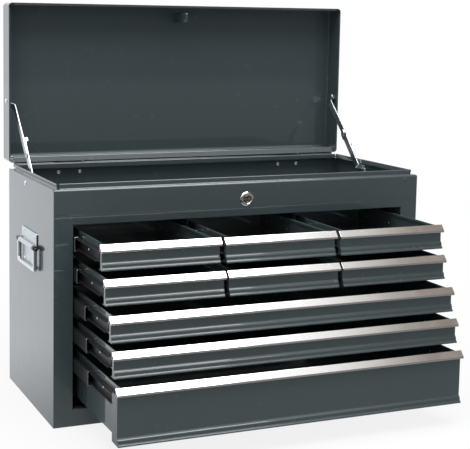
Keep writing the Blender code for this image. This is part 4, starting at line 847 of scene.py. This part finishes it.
fit(gathered("lock", smooth(barrel, 30), softened(nut, 0.4, 3)), "lock_body", "case", "chrome_steel", "lock_barrel")
key_metal = finish("key_plug", (0.56, 0.43, 0.38), (0.12, 0.24), metallic=1.0, spread=0.3, clouds=300.0, depth=0.006)
plug_face, tail = [(0, 0.6), (3.2, 0.7), (4.6, 1.1), (5.6, 0.8), (6, 0.2)], lock_deep - 2.9
plug = turned("plug", plug_face + [(6, lock_deep), (3, lock_deep), (3, tail), (0, tail)], lock_seat, (0, -1, 0), 48,
              key_metal)
cut(plug, block("keyway", (-0.8, front_y - 4, lock_z - 3.5), (0.8, front_y + 6, lock_z + 3.5), chrome))
hook = [(0, -6.5), (20, -6.5), (20, 7), (15.5, 7), (15.5, -1), (5, -1)]
cam_outline = [(x, lock_z + z) for x, z in arc_points(5, range(45, 226, 12)) + hook]
cam = stamped("cam", [cam_outline], "xz", front_y + gap - lock_deep, front_y + gap - lock_deep + 2, zinc)
plug = gathered("plug", smooth(plug, 30), softened(cam, 0.25))
fit(plug, "lock_plug_and_cam", "lock_cylinder", "chrome_steel", "lock_plug")


# Side handles: a zinc plated plate with a rolled edge round a rod, a tongue under the grip, and a pressed steel bail
# that hangs on the rod and lies flat on the tongue. The rod and the bail's eyes are dark steel as painted shade:
# they stand for the shadow inside the hollow ends of the rolled edge.
plate_x, face_x, rod_x = side_x + gap, side_x + 1.8, side_x + 5.1
pivot_z, bail_foot, leg_low, leg_high, grip_t = 247.0, 211.5, 41.5, 48.0, 6
roll_half, roll_r, rod_half, rod_r = 39.2, 3.7, 54.8, 2.6
plate = stamped("plate", [rounded((-42, 243), (42, 268), 3)], "yz", plate_x, face_x, zinc)
tongue = stamped("tongue", [rounded((-29, 216), (29, 255), 3)], "yz", plate_x + 0.1, face_x - 0.1, zinc)
roll = turned("roll", [(3.0, -roll_half), (roll_r, -roll_half), (roll_r, roll_half), (3.0, roll_half)],
              (rod_x, 0, pivot_z), (0, 1, 0), 40, zinc, True)
rod_side = [(0, rod_half), (2.0, rod_half), (rod_r, rod_half - 0.6)]
rod_side += [(radius, -up) for radius, up in reversed(rod_side)]
# The rod is dark steel as painted shade, for the shadow inside the hollow roll round it.
rod = turned("rod", rod_side, (rod_x, 0, pivot_z), (0, 1, 0), 40, black_steel)
seats = [(plate_x - 0.2, y, z) for y, z in ((-32, 261), (32, 261), (-20, 222), (20, 222))]
heads = rivets("rivet", seats, (1, 0, 0), 1.7, bright_steel, head=3.0, rise=1.0)
plates = [softened(part, 0.4, 3) for part in (plate, tongue)]
handle = gathered("handle", *plates, smooth(roll, 30), smooth(rod, 30), heads)
fit_pair(handle, "handle_mount", "case", "zinc_steel", "handle_plate")
bail_x = face_x + 0.3
grip_z = bail_foot + grip_t
outer = eased([(-leg_high, pivot_z), (-leg_high, bail_foot), (leg_high, bail_foot), (leg_high, pivot_z)], 6, 8)
inner = eased([(leg_low, pivot_z), (leg_low, grip_z), (-leg_low, grip_z), (-leg_low, pivot_z)], 3, 8)
bail = [softened(stamped("bail", [outer + inner], "yz", bail_x, bail_x + 5.6, bright_steel), 1.7, 5, 60)]
for y in (-leg_high - 0.5, leg_low - 0.5):
    # Each eye is dark steel as painted shade, for the shadow in the hollow where the bail hangs on the rod.
    eye = disc("eye", (rod_x, y, pivot_z), (0, 1, 0), roll_r, 7.5, 40, black_steel)
    bore = disc("bore", (rod_x, y - 2, pivot_z), (0, 1, 0), rod_r + 0.2, 12, 32, black_steel)
    bail.append(softened(cut(eye, bore), 0.25))
bail = gathered("bail", *bail)
fit(mirrored(bail, "left"), "handle_grip_left", "bail_left", "chrome_steel", "handle_bail_left")
fit(bail, "handle_grip_right", "bail_right", "chrome_steel", "handle_bail_right")


# Studio: a white floor, a white room that is dimmer in front, soft lamps, and the camera where the photographer was.
# A glossy surface sees the floor fade towards the front, a white ceiling, and a warm grey wall on the right.
def ramp(tree, source, low, high, start=0.0, end=1.0):
    """A value that eases from start to end while the source goes from low to high."""
    return add(tree, "ShaderNodeMapRange", {
        "Value": source, "From Min": low, "From Max": high, "To Min": start, "To Max": end},
        interpolation_type="SMOOTHSTEP")["Result"]


def blended(tree, share, first, second):
    """A colour that goes from the first to the second with the share."""
    return add(tree, "ShaderNodeMix", {0: share, 6: first, 7: second}, data_type="RGBA")[2]


def by_ray(tree, seen_look, mirrored_look, other_look, output):
    """One shader for the eye, one for glossy surfaces, and one for the light that falls on everything else."""
    path = add(tree, "ShaderNodeLightPath")
    seen = add(tree, "ShaderNodeMath", {0: path["Is Camera Ray"], 1: path["Is Transmission Ray"]},
               operation="MAXIMUM")
    reflected = add(tree, "ShaderNodeMixShader", {0: path["Is Glossy Ray"], 1: other_look, 2: mirrored_look})
    direct = add(tree, "ShaderNodeMixShader", {0: seen[0], 1: reflected[0], 2: seen_look})
    tree.links.new(direct[0], output)


bm = bmesh.new()
floor_half, ground = 9000, -0.5
bm.faces.new([bm.verts.new((x * floor_half, y * floor_half, ground))
              for x, y in ((-1, -1), (1, -1), (1, 1), (-1, 1))])
floor = solid("floor", bm)
floor_look = bpy.data.materials.new("white_floor")
floor_look.use_nodes = True
tree = floor_look.node_tree
matt = feed(tree, tree.nodes["Principled BSDF"], {"Base Color": (0.62, 0.62, 0.62, 1), "Roughness": 0.9})
place = add(tree, "ShaderNodeTexCoord")["Object"]
across = add(tree, "ShaderNodeSeparateXYZ", {0: place})
mirror = add(tree, "ShaderNodeEmission", {
    "Color": blended(tree, ramp(tree, across["Y"], -0.5, 0.4), (0.20, 0.20, 0.20, 1), (0.93, 0.96, 1.0, 1))})
glow = add(tree, "ShaderNodeEmission")
away = add(tree, "ShaderNodeVectorMath", {0: place}, operation="LENGTH")
near_share = ramp(tree, away["Value"], 0.45, 1.2, 0.14, 0.0)
shaded = add(tree, "ShaderNodeMixShader", {0: near_share, 1: glow[0], 2: matt[0]})
by_ray(tree, shaded[0], mirror[0], matt[0], tree.nodes["Material Output"].inputs["Surface"])
floor.data.materials.append(floor_look)

scene = bpy.context.scene
world = bpy.data.worlds.new("studio")
world.use_nodes = True
scene.world = world
tree = world.node_tree
ambient = feed(tree, tree.nodes["Background"], {"Color": (1, 1, 1, 1), "Strength": 0.6})
way = add(tree, "ShaderNodeSeparateXYZ", {0: add(tree, "ShaderNodeTexCoord")["Generated"]})
low_part = blended(tree, ramp(tree, way["Y"], -0.5, 0.2), (0.045, 0.045, 0.045, 1), (0.90, 0.93, 0.97, 1))
high_part = blended(tree, ramp(tree, way["X"], 0.455, 0.565), (1.0, 1.0, 1.0, 1), (0.26, 0.225, 0.195, 1))
room = add(tree, "ShaderNodeBackground", {
    "Color": blended(tree, ramp(tree, way["Z"], 0.15, 0.45), low_part, high_part)})
white = add(tree, "ShaderNodeBackground", {"Color": (1, 1, 1, 1)})
by_ray(tree, white[0], room[0], ambient[0], tree.nodes["World Output"].inputs["Surface"])


def lamp(name, place, aim, size, power):
    """A soft rectangular lamp that faces its aim."""
    light = bpy.data.lights.new(name, "AREA")
    light.shape = "RECTANGLE"
    light.size, light.size_y = size
    light.energy = power
    obj = bpy.data.objects.new(name, light)
    obj.location = place
    obj.rotation_euler = (Vector(aim) - Vector(place)).to_track_quat("-Z", "Y").to_euler()
    scene.collection.objects.link(obj)
    return obj


lamp("overhead", (-0.1, -0.38, 2.2), (0, 0, 0.2), (2.4, 1.8), 74)
lamp("front_fill", (-0.6, -2.5, 1.5), (0, 0, 0.2), (1.6, 1.2), 4).visible_glossy = False

camera = bpy.data.cameras.new("camera")
picture_width, focal_length, sensor = 470, 1158.5, 36
camera.sensor_width, camera.sensor_fit = sensor, "HORIZONTAL"
camera.lens = focal_length / picture_width * sensor
camera.shift_x, camera.shift_y = 0.13, -0.15
viewer = bpy.data.objects.new("camera", camera)
yaw, pitch, roll = (math.radians(angle) for angle in (22.164, 6.426, 0.770))
viewer.matrix_world = (Matrix.Translation(Vector((-750.6, -1677.4, 579.3)) * mm) @ Matrix.Rotation(-yaw, 4, "Z")
                       @ Matrix.Rotation(math.pi / 2 - pitch, 4, "X") @ Matrix.Rotation(roll, 4, "Z"))
scene.collection.objects.link(viewer)
scene.camera = viewer
scene.view_settings.view_transform = "Standard"
